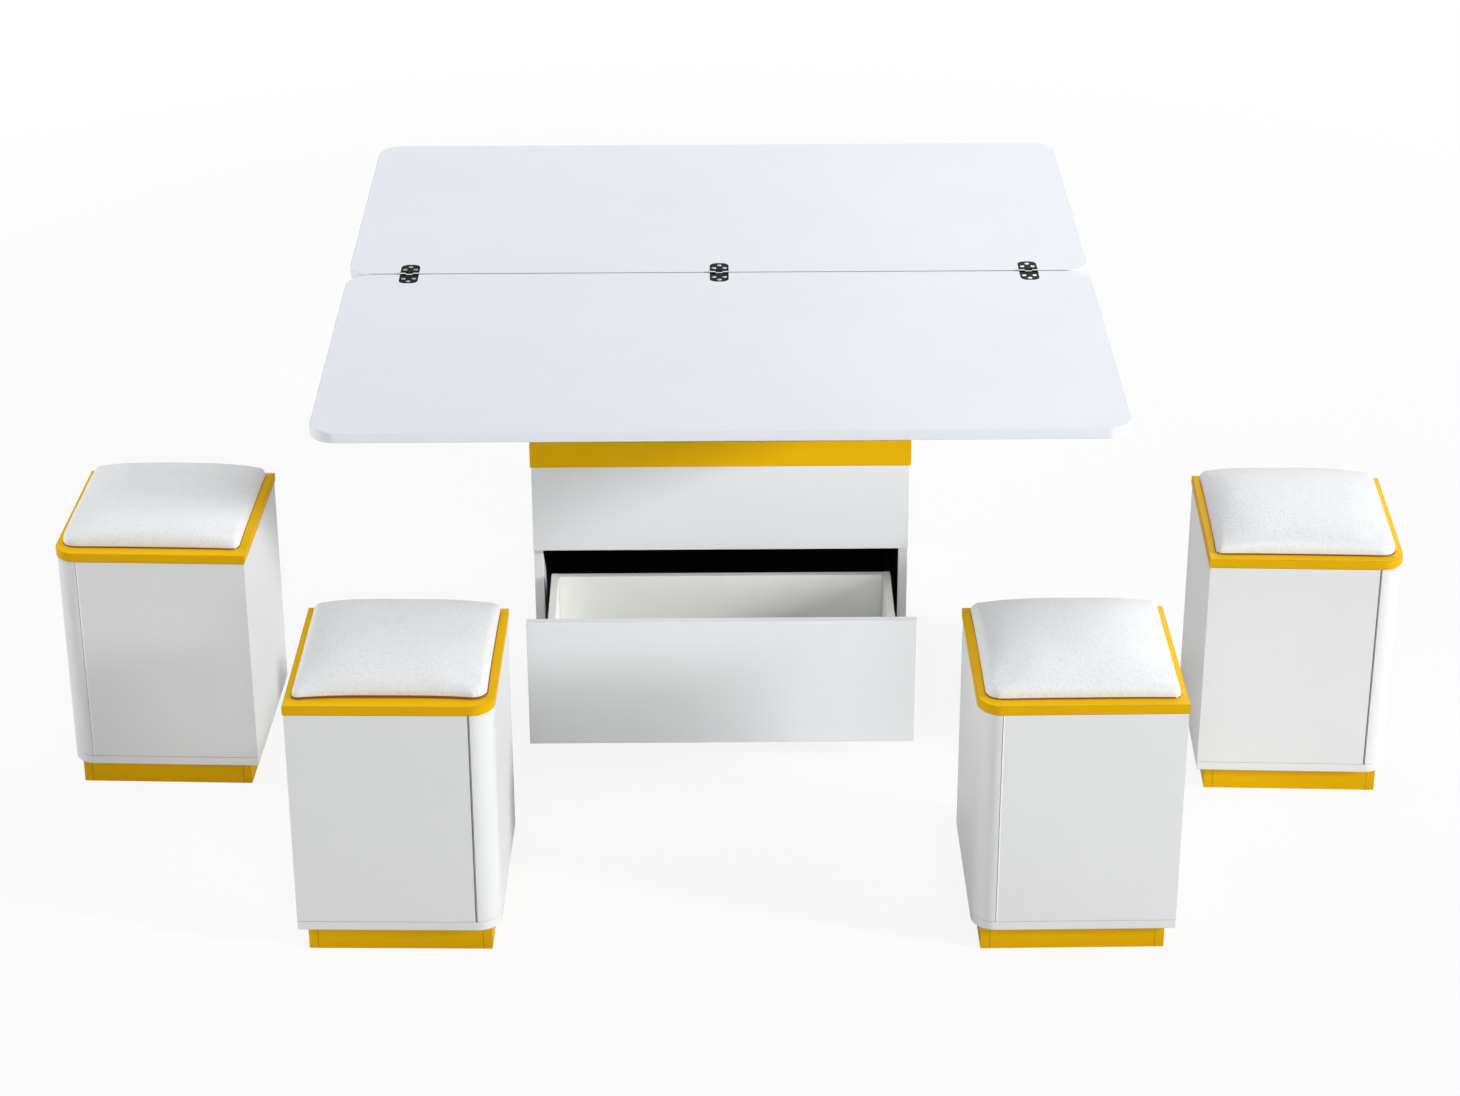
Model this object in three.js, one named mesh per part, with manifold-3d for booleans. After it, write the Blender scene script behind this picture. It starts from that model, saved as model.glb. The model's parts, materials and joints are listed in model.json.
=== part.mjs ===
// Lift-top coffee table with a fold-out top, one drawer and four padded stools.
// Millimetres, +Z up, +X to the right, +Y to the back.
// The origin is the middle of the cabinet at floor level.
// Rest pose: top raised and unfolded, drawer pulled out, stools standing round the table.

import * as THREE from "three";
import { mergeVertices } from "three/addons/utils/BufferGeometryUtils.js";
import Module from "manifold-3d";

const wasm = await Module();
wasm.setup();

// Fits and finishes shared by all pieces
const touch_gap = 0.3; // between pieces that are screwed or glued together
const running_gap = 0.5; // between flat pieces that move past each other
const cut_overrun = 2; // how far a cutter runs past the piece it cuts
const weld_distance = 0.001; // corners closer than this are one corner
const board_round = 0.8; // softened edge of a laminated board
const panel_thickness = 15; // carcass boards, fascia and drawer front
const corner_steps = 8; // facets in a quarter turn of a board's corner
const pin_steps = 16; // facets round a pin or a pivot hole
const screw_hole_steps = 12; // facets round a screw hole

// Table top
const leaf_width = 1200;
const leaf_depth = 600;
const leaf_thickness = 18;
const leaf_corner_radius = 40;
const leaf_round = 2.4;
const seam_gap = 1.2;

// Flap hinges let into the top
const hinge_count = 3;
const hinge_spread = 1000; // between the outer hinges
const hinge_width = 30;
const hinge_reach = 39; // from the seam to the end of one plate
const hinge_corner_radius = 11;
const hinge_plate_thickness = 2;
const hinge_sink = 0.1; // plate face below the table surface
const hinge_pin_lift = 0.4; // pin centre above the table surface
const hinge_pin_radius = 1.5;
const knuckle_radius = 3.2;
const middle_knuckle_length = 11;
const hinge_screw_radius = 2.2;
const hinge_screw_head_radius = 4;
const hinge_screw_side = 8.5; // side screws from the middle of the plate
const hinge_screw_near = 19; // side screws from the seam
const hinge_screw_far = 30; // end screw from the seam

// Cabinet
const cabinet_width = 604;
const cabinet_depth = 584;
const plinth_height = 38;
const plinth_inset = 15;
const plinth_thickness = 13;
const plinth_front_setback = 12;
const base_thickness = 14;
const fascia_height = 149;
const front_reveal = 2; // between the drawer front and the fascia
const rim_height = 43;
const rim_overhang = 1.5;
const closed_rest_gap = 1; // between the rim and the lowered top

// Drawer
const drawer_front_height = 215;
const drawer_front_lift = 3; // drawer front above the plinth
const drawer_box_depth = 240;
const drawer_box_height = 140;
const drawer_box_lift = 16; // box above the base board
const drawer_side_thickness = 12;
const drawer_bottom_thickness = 5;
const drawer_groove_lift = 10;
const drawer_groove_depth = 6;
const drawer_travel = 240;

// Drawer slides, three nested channels on each side
const slide_space = 12.7; // between the cabinet side and the drawer side
const slide_wall = 1.2;
const slide_height = 45;
const slide_length = 240;
const slide_outer_depth = 9.6;
const slide_middle_depth = 6.2;
const slide_middle_set = 3; // middle channel's web from the cabinet side
const slide_inner_depth = 6.4;
const slide_lift = 34; // slide's middle above the drawer box's bottom edge

// Lift fitting, a parallelogram of flat steel arms on each side
const arm_reach = 191; // pivot to pivot
const arm_width = 24;
const arm_thickness = 4;
const arm_raised_degrees = 94.5; // from lying level to raised, just past upright
const pivot_from_front = 250; // front pivot behind the cabinet's front
const rear_pivot_setback = 90; // rear pivot behind the front one
const rear_pivot_rise = 30; // rear pivot above the front one
const pivot_drop = 20; // rear pivot below the lowered top
const stud_radius = 4;
const stud_head_radius = 7;
const stud_head_thickness = 1.6;
const open_pivot_gap = 0.5; // free play at the rear arms' upper pins
const shaft_radius = 11;
const journal_radius = 6;
const bracket_thickness = 3;
const bracket_front_reach = 42;
const bracket_rear_reach = 120;
const bracket_drop = 32;
const bracket_rise = 15;
const bracket_lip_width = 28;
const bracket_corner_radius = 8;
const bracket_screw_radius = 3;
const bracket_screw_inset = 16;
const rail_thickness = 3;
const rail_flange_width = 32;
const rail_end_reach = 30; // rail past its front pin
const rail_pin_margin = 14; // metal below a rail's pin
const rail_shallow_depth = 28; // height of the rail's rear stretch
const rail_stud_clearance = 8; // rail's rear end short of the bracket's stud
const rail_screw_radius = 2.5;
const rail_screw_inset = 12;

// Torsion springs on the lift shaft
const spring_wire = 6;
const spring_mean_radius = 18;
const spring_turns = 9;
const spring_pitch = 6.9;
const spring_steps_per_turn = 8;
const spring_sides = 5;
const spring_bend_steps = 3;
const spring_leg_reach = 27; // outer leg's foot in front of the shaft's middle
const spring_end_gap = 4; // outer turn from the rail
const collar_radius = 25;
const collar_width = 12;

// Stools
const stool_width = 293;
const stool_depth = 288;
const stool_corner_radius = 34;
const seat_thickness = 15;
const seat_overhang = 1.5;
const seat_round = 1.6;
const stool_height = 406; // top of the seat board
const stool_wall = 14;
const stool_plinth_setback = 12;
const post_joint = 0.8; // joint line beside the rounded corner post

// Stool cushions
const cushion_side_inset = 13;
const cushion_front_inset = 22;
const cushion_back_inset = 8;
const cushion_corner_radius = 24; // over the seat's rounded corner
const cushion_tight_radius = 10; // at the other three corners
const cushion_edge_height = 16;
const cushion_crown = 19;
const cushion_pull = 3.5; // how far the sides draw in between the corners
const cushion_steps_per_corner = 6;
const cushion_steps_per_side = 5;
const cushion_wall_rings = 6;
const cushion_top_rings = 7;
const cushion_wall_tuck_share = 0.16; // foot of the wall drawn under, share of its height
const cushion_shoulder_share = 0.42; // rounding of the upper edge, share of the wall's height

// Where the stools stand: the middle of the seat board's front edge, across as a share of the leaf's
// width from the middle, ahead as a share of its depth in front of the cabinet
const stool_place_shares = [
  { across: -0.387, ahead: 1.253, turn_degrees: -1.2, rounded_side: 1 },
  { across: 0.415, ahead: 1.269, turn_degrees: 0.4, rounded_side: -1 },
  { across: -0.722, ahead: 0.486, turn_degrees: -2.4, rounded_side: -1 },
  { across: 0.733, ahead: 0.557, turn_degrees: -2.5, rounded_side: 1 },
];

// Levels and places worked out from the sizes
const cabinet_front = -cabinet_depth / 2;
const cabinet_back = cabinet_depth / 2;
const carcass_front = cabinet_front + panel_thickness + touch_gap;
const carcass_back = cabinet_back - panel_thickness - touch_gap;
const side_face = cabinet_width / 2 - panel_thickness; // inner face of a side board
const base_bottom = plinth_height + touch_gap;
const base_top = base_bottom + base_thickness;
const drawer_front_bottom = plinth_height + drawer_front_lift;
const drawer_front_top = drawer_front_bottom + drawer_front_height;
const fascia_bottom = drawer_front_top + front_reveal;
const fascia_top = fascia_bottom + fascia_height;
const rim_bottom = fascia_top + touch_gap;
const cabinet_top = rim_bottom + rim_height;
const closed_underside = cabinet_top + closed_rest_gap;

const arm_raised = THREE.MathUtils.degToRad(arm_raised_degrees);
const lift_back = arm_reach * (1 - Math.cos(arm_raised));
const lift_up = arm_reach * Math.sin(arm_raised);
const closed_seam_y = -leaf_depth / 2;
const seam_y = closed_seam_y + lift_back;
const surface_z = closed_underside + leaf_thickness + lift_up;

const front_pivot = {
  y: cabinet_front + pivot_from_front,
  z: closed_underside - pivot_drop - rear_pivot_rise,
};
const rear_pivot = { y: front_pivot.y + rear_pivot_setback, z: front_pivot.z + rear_pivot_rise };
const bracket_outer_x = side_face - touch_gap;
const bracket_inner_x = bracket_outer_x - bracket_thickness;
const arm_outer_x = bracket_inner_x - running_gap;
const arm_inner_x = arm_outer_x - arm_thickness;
const rail_outer_x = arm_inner_x - running_gap;
const rail_inner_x = rail_outer_x - rail_thickness;

// Finishes
function finish(color, roughness, metalness) {
  return new THREE.MeshStandardMaterial({ color, roughness, metalness });
}
const white_laminate = finish(0xeceff2, 0.35, 0);
const white_board = finish(0xe6e8ea, 0.45, 0);
const yellow_lacquer = finish(0xf2ba05, 0.4, 0);
const drawer_white = finish(0xdfe1df, 0.55, 0);
const white_leather = finish(0xe9ecee, 0.5, 0);
const black_hinge = finish(0x101112, 0.35, 0.7);
const zinc_steel = finish(0xb9bcc0, 0.35, 0.9);
const black_steel = finish(0x1d1f22, 0.5, 0.6);
const spring_steel = finish(0x55595e, 0.4, 0.9);

// Outlines and solids

const unit = {
  x: new THREE.Vector3(1, 0, 0),
  y: new THREE.Vector3(0, 1, 0),
  z: new THREE.Vector3(0, 0, 1),
};

// For each direction of pushing, the axes that the outline's own x and y lie along
const outline_axes = { x: ["y", "z"], y: ["z", "x"], z: ["x", "y"] };

// An outline pushed along an axis from start, with its two faces softened by round.
function extrudeAlong(axis, outline, start, length, round = 0, roundSteps = 1) {
  const geometry = new THREE.ExtrudeGeometry(outline, {
    depth: length - 2 * round,
    bevelEnabled: round > 0,
    bevelThickness: round,
    bevelSize: round,
    bevelOffset: -round,
    bevelSegments: roundSteps,
    curveSegments: corner_steps,
    steps: 1,
  });
  const [first, second] = outline_axes[axis];
  const frame = new THREE.Matrix4().makeBasis(unit[first], unit[second], unit[axis]);
  frame.setPosition(unit[axis].clone().multiplyScalar(start + round));
  return geometry.applyMatrix4(frame);
}

// A rectangle with one radius for each corner, counter-clockwise from the low corner.
function rectangle(low, high, radii = [0, 0, 0, 0]) {
  const corners = [
    [low[0] + radii[0], low[1] + radii[0]],
    [high[0] - radii[1], low[1] + radii[1]],
    [high[0] - radii[2], high[1] - radii[2]],
    [low[0] + radii[3], high[1] - radii[3]],
  ];
  const points = corners.flatMap(([cx, cy], i) => {
    const steps = radii[i] > 0 ? corner_steps : 0;
    return Array.from({ length: steps + 1 }, (_, k) => {
      const angle = Math.PI + (i + k / corner_steps) * (Math.PI / 2);
      return new THREE.Vector2(cx + radii[i] * Math.cos(angle), cy + radii[i] * Math.sin(angle));
    });
  });
  return new THREE.Shape(points);
}

// A board between two corners, pushed along its thinnest direction.
function board(low, high, round = board_round) {
  const from = new THREE.Vector3(...low);
  const to = new THREE.Vector3(...high);
  const size = to.clone().sub(from);
  const axis = ["x", "y", "z"].find((name) => size[name] === Math.min(size.x, size.y, size.z));
  const [first, second] = outline_axes[axis];
  const outline = rectangle([from[first], from[second]], [to[first], to[second]]);
  return extrudeAlong(axis, outline, from[axis], size[axis], round);
}

// A round bar along X between two places.
function barAlongX(radius, fromX, toX, y, z, sides = pin_steps) {
  const bar = new THREE.CylinderGeometry(radius, radius, toX - fromX, sides);
  bar.rotateZ(-Math.PI / 2);
  return bar.translate((fromX + toX) / 2, y, z);
}

// An upright cone or bar between two levels, to cut a screw hole.
function uprightCutter(x, y, low, high) {
  const cutter = new THREE.CylinderGeometry(high.radius, low.radius, high.z - low.z, screw_hole_steps);
  return cutter.rotateX(Math.PI / 2).translate(x, y, (low.z + high.z) / 2);
}

function block(low, high) {
  const size = high.map((value, i) => value - low[i]);
  const middle = high.map((value, i) => (value + low[i]) / 2);
  return new THREE.BoxGeometry(...size).translate(...middle);
}

function solidOf(geometry) {
  const bare = geometry.clone();
  bare.deleteAttribute("normal");
  bare.deleteAttribute("uv");
  const merged = mergeVertices(bare, weld_distance);
  return new wasm.Manifold(
    new wasm.Mesh({
      numProp: 3,
      vertProperties: merged.attributes.position.array,
      triVerts: new Uint32Array(merged.index.array),
    }),
  );
}

function geometryOf(solid) {
  const { vertProperties, triVerts } = solid.getMesh();
  const geometry = new THREE.BufferGeometry();
  geometry.setAttribute("position", new THREE.BufferAttribute(vertProperties, 3));
  geometry.setIndex(new THREE.BufferAttribute(triVerts, 1));
  geometry.computeVertexNormals();
  return geometry;
}

// Joins the first list of geometries and cuts the second list away.
function joined(pieces, cutters = []) {
  let solid = solidOf(pieces[0]);
  for (const piece of pieces.slice(1)) solid = solid.add(solidOf(piece));
  for (const cutter of cutters) solid = solid.subtract(solidOf(cutter));
  return geometryOf(solid);
}

function piece(parent, name, geometry, material) {
  const mesh = new THREE.Mesh(geometry, material);
  mesh.name = name;
  parent.add(mesh);
  return mesh;
}

// The same geometry on the right and, mirrored, on the left.
function pair(parent, name, geometry, material) {
  piece(parent, name + "_right", geometry, material);
  piece(parent, name + "_left", geometry, material).scale.x = -1;
}

function folder(parent, x = 0, y = 0, z = 0) {
  const group = new THREE.Group();
  group.position.set(x, y, z);
  parent.add(group);
  return group;
}

// A closed frame of four boards standing on edge, centred on the origin, with or without a board
// across its middle.
function boardFrame(halfWidth, halfDepth, bottom, top, thickness, hasCrossBoard) {
  const outline = rectangle([-halfWidth, -halfDepth], [halfWidth, halfDepth]);
  const innerX = halfWidth - thickness;
  const innerY = halfDepth - thickness;
  const bays = hasCrossBoard
    ? [
        [-innerY, -thickness / 2],
        [thickness / 2, innerY],
      ]
    : [[-innerY, innerY]];
  for (const [from, to] of bays) outline.holes.push(rectangle([-innerX, from], [innerX, to]));
  return extrudeAlong("z", outline, bottom, top - bottom, board_round);
}

const table = new THREE.Group();

// Cabinet carcass

function cabinet(parent) {
  const half = cabinet_width / 2;
  const plinthHalf = half - plinth_inset;
  const plinthDepth = -carcass_front - plinth_front_setback;
  piece(
    parent,
    "cabinet_plinth",
    boardFrame(plinthHalf, plinthDepth, 0, plinth_height, plinth_thickness, true),
    yellow_lacquer,
  );
  piece(
    parent,
    "cabinet_base",
    board([-half, carcass_front, base_bottom], [half, cabinet_back, base_top]),
    white_board,
  );
  const sideBottom = base_top + touch_gap;
  pair(
    parent,
    "cabinet_side",
    board([side_face, carcass_front, sideBottom], [half, carcass_back, fascia_top]),
    white_board,
  );
  piece(
    parent,
    "cabinet_back",
    board([-half, carcass_back + touch_gap, sideBottom], [half, cabinet_back, fascia_top]),
    white_board,
  );
  const deckHalf = side_face - touch_gap;
  piece(
    parent,
    "cabinet_deck",
    board(
      [-deckHalf, carcass_front, fascia_bottom],
      [deckHalf, carcass_back, fascia_bottom + panel_thickness],
    ),
    white_board,
  );
  piece(
    parent,
    "cabinet_fascia",
    board([-half, cabinet_front, fascia_bottom], [half, carcass_front - touch_gap, fascia_top]),
    white_board,
  );
  piece(
    parent,
    "cabinet_rim",
    boardFrame(
      half + rim_overhang,
      cabinet_back + rim_overhang,
      rim_bottom,
      cabinet_top,
      panel_thickness + rim_overhang,
      false,
    ),
    yellow_lacquer,
  );
}

// Drawer: overlay front, grooved sides and back, and a bottom panel held in the grooves

const box_half = side_face - slide_space;
const box_bottom = base_top + drawer_box_lift;
const box_top = box_bottom + drawer_box_height;
const box_front = cabinet_front + panel_thickness + touch_gap;
const box_back = box_front + drawer_box_depth;
const groove_bottom = box_bottom + drawer_groove_lift;
const groove_top = groove_bottom + drawer_bottom_thickness + 2 * touch_gap;
const groove_half = box_half - drawer_side_thickness + drawer_groove_depth;
const slide_z = box_bottom + slide_lift;

function drawer(parent) {
  const half = cabinet_width / 2;
  const sideInner = box_half - drawer_side_thickness;
  const backInner = box_back - drawer_side_thickness;
  const grooveFront = cabinet_front + panel_thickness - drawer_groove_depth;
  const grooveBack = backInner + drawer_groove_depth;
  const groove = block([-groove_half, grooveFront, groove_bottom], [groove_half, grooveBack, groove_top]);

  piece(
    parent,
    "drawer_front",
    joined(
      [
        board(
          [-half, cabinet_front, drawer_front_bottom],
          [half, cabinet_front + panel_thickness, drawer_front_top],
        ),
      ],
      [groove],
    ),
    white_board,
  );
  pair(
    parent,
    "drawer_side",
    joined([board([sideInner, box_front, box_bottom], [box_half, box_back, box_top])], [groove]),
    drawer_white,
  );
  const backHalf = sideInner - touch_gap;
  piece(
    parent,
    "drawer_back",
    joined([board([-backHalf, backInner, box_bottom], [backHalf, box_back, box_top])], [groove]),
    drawer_white,
  );
  piece(
    parent,
    "drawer_bottom",
    block(
      [-groove_half + touch_gap, grooveFront + touch_gap, groove_bottom + touch_gap],
      [groove_half - touch_gap, grooveBack - touch_gap, groove_top - touch_gap],
    ),
    drawer_white,
  );
}

// One slide channel: a web at webX and two flanges that reach to openX.
function slideChannel(webX, openX, height, front, length) {
  const wall = Math.sign(openX - webX) * slide_wall;
  const half = height / 2;
  const outline = new THREE.Shape([
    new THREE.Vector2(slide_z - half, webX),
    new THREE.Vector2(slide_z - half, openX),
    new THREE.Vector2(slide_z - half + slide_wall, openX),
    new THREE.Vector2(slide_z - half + slide_wall, webX + wall),
    new THREE.Vector2(slide_z + half - slide_wall, webX + wall),
    new THREE.Vector2(slide_z + half - slide_wall, openX),
    new THREE.Vector2(slide_z + half, openX),
    new THREE.Vector2(slide_z + half, webX),
  ]);
  return extrudeAlong("y", outline, front, length);
}

function slides(fixed, middle, moving) {
  const nest = 2 * (slide_wall + running_gap);
  const outerWeb = side_face - touch_gap;
  const middleWeb = side_face - slide_middle_set;
  const innerWeb = box_half + touch_gap;
  const front = box_front + touch_gap;
  pair(
    fixed,
    "slide_outer",
    slideChannel(outerWeb, outerWeb - slide_outer_depth, slide_height, front, slide_length),
    zinc_steel,
  );
  pair(
    middle,
    "slide_middle",
    slideChannel(middleWeb, middleWeb - slide_middle_depth, slide_height - nest, front, slide_length),
    zinc_steel,
  );
  pair(
    moving,
    "slide_inner",
    slideChannel(innerWeb, innerWeb + slide_inner_depth, slide_height - 2 * nest, front, slide_length),
    zinc_steel,
  );
}

// Lift fitting

const arm_half = arm_width / 2;

// A riveted stud: a pin across the arm, and a head past it.
function studAcross(y, z, fromX, armFarX) {
  const away = Math.sign(armFarX - fromX);
  const headNear = armFarX + away * running_gap;
  const headFar = headNear + away * stud_head_thickness;
  const span = (a, b, radius) => barAlongX(radius, Math.min(a, b), Math.max(a, b), y, z);
  return [span(fromX, headFar, stud_radius), span(headNear, headFar, stud_head_radius)];
}

// A flat bar with round ends from its pivot forwards, lying level, with a hole at each listed place.
function armBar(holes) {
  const outline = new THREE.Shape();
  outline.absarc(-arm_reach, 0, arm_half, Math.PI / 2, (3 * Math.PI) / 2, false);
  outline.absarc(0, 0, arm_half, -Math.PI / 2, Math.PI / 2, false);
  for (const { y, radius } of holes) {
    const hole = new THREE.Path();
    hole.absarc(y, 0, radius, 0, 2 * Math.PI, true);
    outline.holes.push(hole);
  }
  return extrudeAlong("x", outline, arm_inner_x, arm_thickness);
}

function liftBracket(parent) {
  const front = front_pivot.y - bracket_front_reach;
  const back = rear_pivot.y + bracket_rear_reach;
  const bottom = front_pivot.z - bracket_drop;
  const top = rear_pivot.z + bracket_rise;
  const radii = Array(4).fill(bracket_corner_radius);
  const plate = extrudeAlong(
    "x",
    rectangle([front, bottom], [back, top], radii),
    bracket_inner_x,
    bracket_thickness,
  );
  const lip = block(
    [bracket_inner_x - bracket_lip_width, front + bracket_corner_radius, bottom],
    [bracket_outer_x, back - bracket_corner_radius, bottom + bracket_thickness],
  );
  const along = new THREE.Vector2(-Math.cos(arm_raised), Math.sin(arm_raised));
  const behind = new THREE.Vector2(along.y, -along.x);
  const stop = new THREE.Vector2(rear_pivot.y, rear_pivot.z)
    .addScaledVector(along, bracket_rise - stud_radius - touch_gap)
    .addScaledVector(behind, arm_half + touch_gap + stud_radius);
  const hole = (radius, y, z, steps) =>
    barAlongX(radius, bracket_inner_x - cut_overrun, bracket_outer_x + cut_overrun, y, z, steps);
  const screwReach = bracket_rear_reach - bracket_screw_inset;
  const screwHoles = [screwReach / 2, screwReach].flatMap((reach) =>
    [bottom + bracket_thickness + bracket_screw_inset, top - bracket_screw_inset].map((z) =>
      hole(bracket_screw_radius, rear_pivot.y + reach, z, screw_hole_steps),
    ),
  );
  pair(
    parent,
    "lift_bracket",
    joined(
      [
        plate,
        lip,
        ...studAcross(rear_pivot.y, rear_pivot.z, bracket_outer_x, arm_inner_x),
        barAlongX(stud_radius, arm_inner_x, bracket_outer_x, stop.x, stop.y),
      ],
      [hole(journal_radius + touch_gap, front_pivot.y, front_pivot.z, pin_steps), ...screwHoles],
    ),
    black_steel,
  );
}

// Outer end of the spring's coil, and the face of the collar that takes its inner end
const spring_start_x = rail_inner_x - spring_end_gap - spring_wire / 2;
const spring_end_x = spring_start_x - spring_turns * spring_pitch;
const collar_outer_x = spring_end_x - 2 * spring_wire;

// Front arms, shaft and spring collars are welded into one frame that turns in the brackets.
function frontArms(parent) {
  const bar = armBar([{ y: -arm_reach, radius: stud_radius + touch_gap }]);
  const mirroredBar = bar.clone().scale(-1, 1, 1);
  flipFaces(mirroredBar);
  const parts = [bar, mirroredBar, barAlongX(shaft_radius, -arm_outer_x, arm_outer_x, 0, 0)];
  for (const side of [-1, 1]) {
    const journal = [side * arm_inner_x, side * (bracket_outer_x - touch_gap)].sort((a, b) => a - b);
    parts.push(barAlongX(journal_radius, ...journal, 0, 0));
    const collar = [side * collar_outer_x, side * (collar_outer_x - collar_width)].sort((a, b) => a - b);
    parts.push(barAlongX(collar_radius, ...collar, 0, 0, 2 * pin_steps));
  }
  piece(parent, "lift_front_arms", joined(parts), black_steel);
}

function flipFaces(geometry) {
  const position = geometry.getAttribute("position");
  const corner = new THREE.Vector3();
  const other = new THREE.Vector3();
  for (let i = 0; i < position.count; i += 3) {
    corner.fromBufferAttribute(position, i + 1);
    other.fromBufferAttribute(position, i + 2);
    position.setXYZ(i + 1, other.x, other.y, other.z);
    position.setXYZ(i + 2, corner.x, corner.y, corner.z);
  }
}

function rearArms(parent) {
  const holes = [
    { y: 0, radius: stud_radius + touch_gap },
    { y: -arm_reach, radius: stud_radius + open_pivot_gap },
  ];
  pair(parent, "lift_rear_arm", armBar(holes), black_steel);
}

// Rails under the rear leaf, in the top's frame: y from the seam, z from the surface.
function topRails(parent) {
  const pinY = front_pivot.y - arm_reach - closed_seam_y;
  const pinZ = front_pivot.z - closed_underside - leaf_thickness;
  const rearPinY = pinY + rear_pivot_setback;
  const rearPinZ = pinZ + rear_pivot_rise;
  const upper = -leaf_thickness - touch_gap;
  const lower = pinZ - rail_pin_margin;
  const shallow = upper - rail_shallow_depth;
  const front = pinY - rail_end_reach;
  const back = rear_pivot.y - closed_seam_y - stud_head_radius - rail_stud_clearance;
  const outline = new THREE.Shape([
    new THREE.Vector2(front, upper),
    new THREE.Vector2(front, pinZ),
    new THREE.Vector2(front + rail_pin_margin, lower),
    new THREE.Vector2(pinY + rail_pin_margin, lower),
    new THREE.Vector2(rearPinY + rail_pin_margin, shallow),
    new THREE.Vector2(back, shallow),
    new THREE.Vector2(back, upper),
  ]);
  const plate = extrudeAlong("x", outline, rail_inner_x, rail_thickness);
  const flange = block(
    [rail_outer_x - rail_flange_width, front, upper - rail_thickness],
    [rail_outer_x, back, upper],
  );
  const screwX = rail_outer_x - rail_flange_width + rail_screw_inset;
  const screwHoles = [front + rail_screw_inset, (front + back) / 2, back - rail_screw_inset].map((y) =>
    uprightCutter(
      screwX,
      y,
      { z: upper - rail_thickness - cut_overrun, radius: rail_screw_radius },
      { z: upper + cut_overrun, radius: rail_screw_radius },
    ),
  );
  pair(
    parent,
    "lift_rail",
    joined(
      [
        plate,
        flange,
        ...studAcross(pinY, pinZ, rail_inner_x, arm_outer_x),
        ...studAcross(rearPinY, rearPinZ, rail_inner_x, arm_outer_x),
      ],
      screwHoles,
    ),
    black_steel,
  );
}

// Torsion springs: an even coil on the shaft. Its outer leg runs forwards and turns down to the
// bracket's lip, and its inner end turns along the shaft to the collar.

function springPath() {
  const at = (x, y, z) => new THREE.Vector3(x, y, z);
  const foot = -bracket_drop + bracket_thickness + touch_gap;
  const bend = -spring_mean_radius - foot - spring_wire;
  const points = [at(spring_start_x, -spring_leg_reach, foot)];
  for (let i = 0; i <= spring_bend_steps; i++) {
    const turn = (i / spring_bend_steps) * (Math.PI / 2);
    const y = -spring_leg_reach + bend * (1 - Math.cos(turn));
    points.push(at(spring_start_x, y, foot + spring_wire + bend * Math.sin(turn)));
  }
  const steps = spring_turns * spring_steps_per_turn;
  for (let i = 0; i <= steps; i++) {
    const angle = (2 * Math.PI * i) / spring_steps_per_turn - Math.PI / 2;
    points.push(
      at(
        spring_start_x - (spring_pitch * i) / spring_steps_per_turn,
        spring_mean_radius * Math.cos(angle),
        spring_mean_radius * Math.sin(angle),
      ),
    );
  }
  const last = points[points.length - 1];
  for (let i = 1; i <= spring_bend_steps; i++) {
    const turn = (i / spring_bend_steps) * (Math.PI / 2);
    points.push(at(last.x - bend * (1 - Math.cos(turn)), last.y + bend * Math.sin(turn), last.z));
  }
  points.push(at(collar_outer_x + touch_gap, last.y + bend, last.z));
  return points;
}

// A closed tube of flat-sided rings along a path; each ring stands square to the path.
function tubeAlong(points, radius, sides) {
  const corners = [];
  const faces = [];
  const side = unit.x.clone();
  points.forEach((point, i) => {
    const before = points[Math.max(i - 1, 0)];
    const after = points[Math.min(i + 1, points.length - 1)];
    const ahead = after.clone().sub(before).normalize();
    side.addScaledVector(ahead, -side.dot(ahead)).normalize();
    const across = ahead.clone().cross(side);
    for (let k = 0; k < sides; k++) {
      const angle = (2 * Math.PI * k) / sides;
      corners.push(
        point
          .clone()
          .addScaledVector(side, radius * Math.cos(angle))
          .addScaledVector(across, radius * Math.sin(angle)),
      );
    }
  });
  for (let i = 0; i + 1 < points.length; i++) {
    for (let k = 0; k < sides; k++) {
      const a = i * sides + k;
      const b = i * sides + ((k + 1) % sides);
      faces.push(a, b, b + sides, a, b + sides, a + sides);
    }
  }
  const last = (points.length - 1) * sides;
  for (let k = 1; k + 1 < sides; k++) {
    faces.push(0, k + 1, k);
    faces.push(last, last + k, last + k + 1);
  }
  const geometry = new THREE.BufferGeometry().setFromPoints(corners);
  geometry.setIndex(faces);
  geometry.computeVertexNormals();
  return geometry;
}

// Least gap between stretches of a tube that lie at least half a turn apart along it.
function leastGapToItself(points, radius) {
  const apart = spring_steps_per_turn / 2;
  let least = Infinity;
  for (let i = 0; i < points.length; i++)
    for (let k = i + apart; k < points.length; k++)
      least = Math.min(least, points[i].distanceTo(points[k]) - 2 * radius);
  return least;
}

function springs(parent) {
  const path = springPath();
  console.log("least gap between spring turns " + leastGapToItself(path, spring_wire / 2).toFixed(2) + " mm");
  const coil = tubeAlong(path, spring_wire / 2, spring_sides);
  pair(folder(parent, 0, front_pivot.y, front_pivot.z), "lift_spring", coil, spring_steel);
}

// Table top: two equal leaves, each with the pockets for its hinge plates

function hingePlaces() {
  return Array.from({ length: hinge_count }, (_, i) => hinge_spread * (i / (hinge_count - 1) - 1 / 2));
}

function plateOutline(grow) {
  const half = hinge_width / 2 + grow;
  const radius = hinge_corner_radius + grow;
  return rectangle([-half, 0], [half, hinge_reach + grow], [0, 0, radius, radius]);
}

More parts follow.
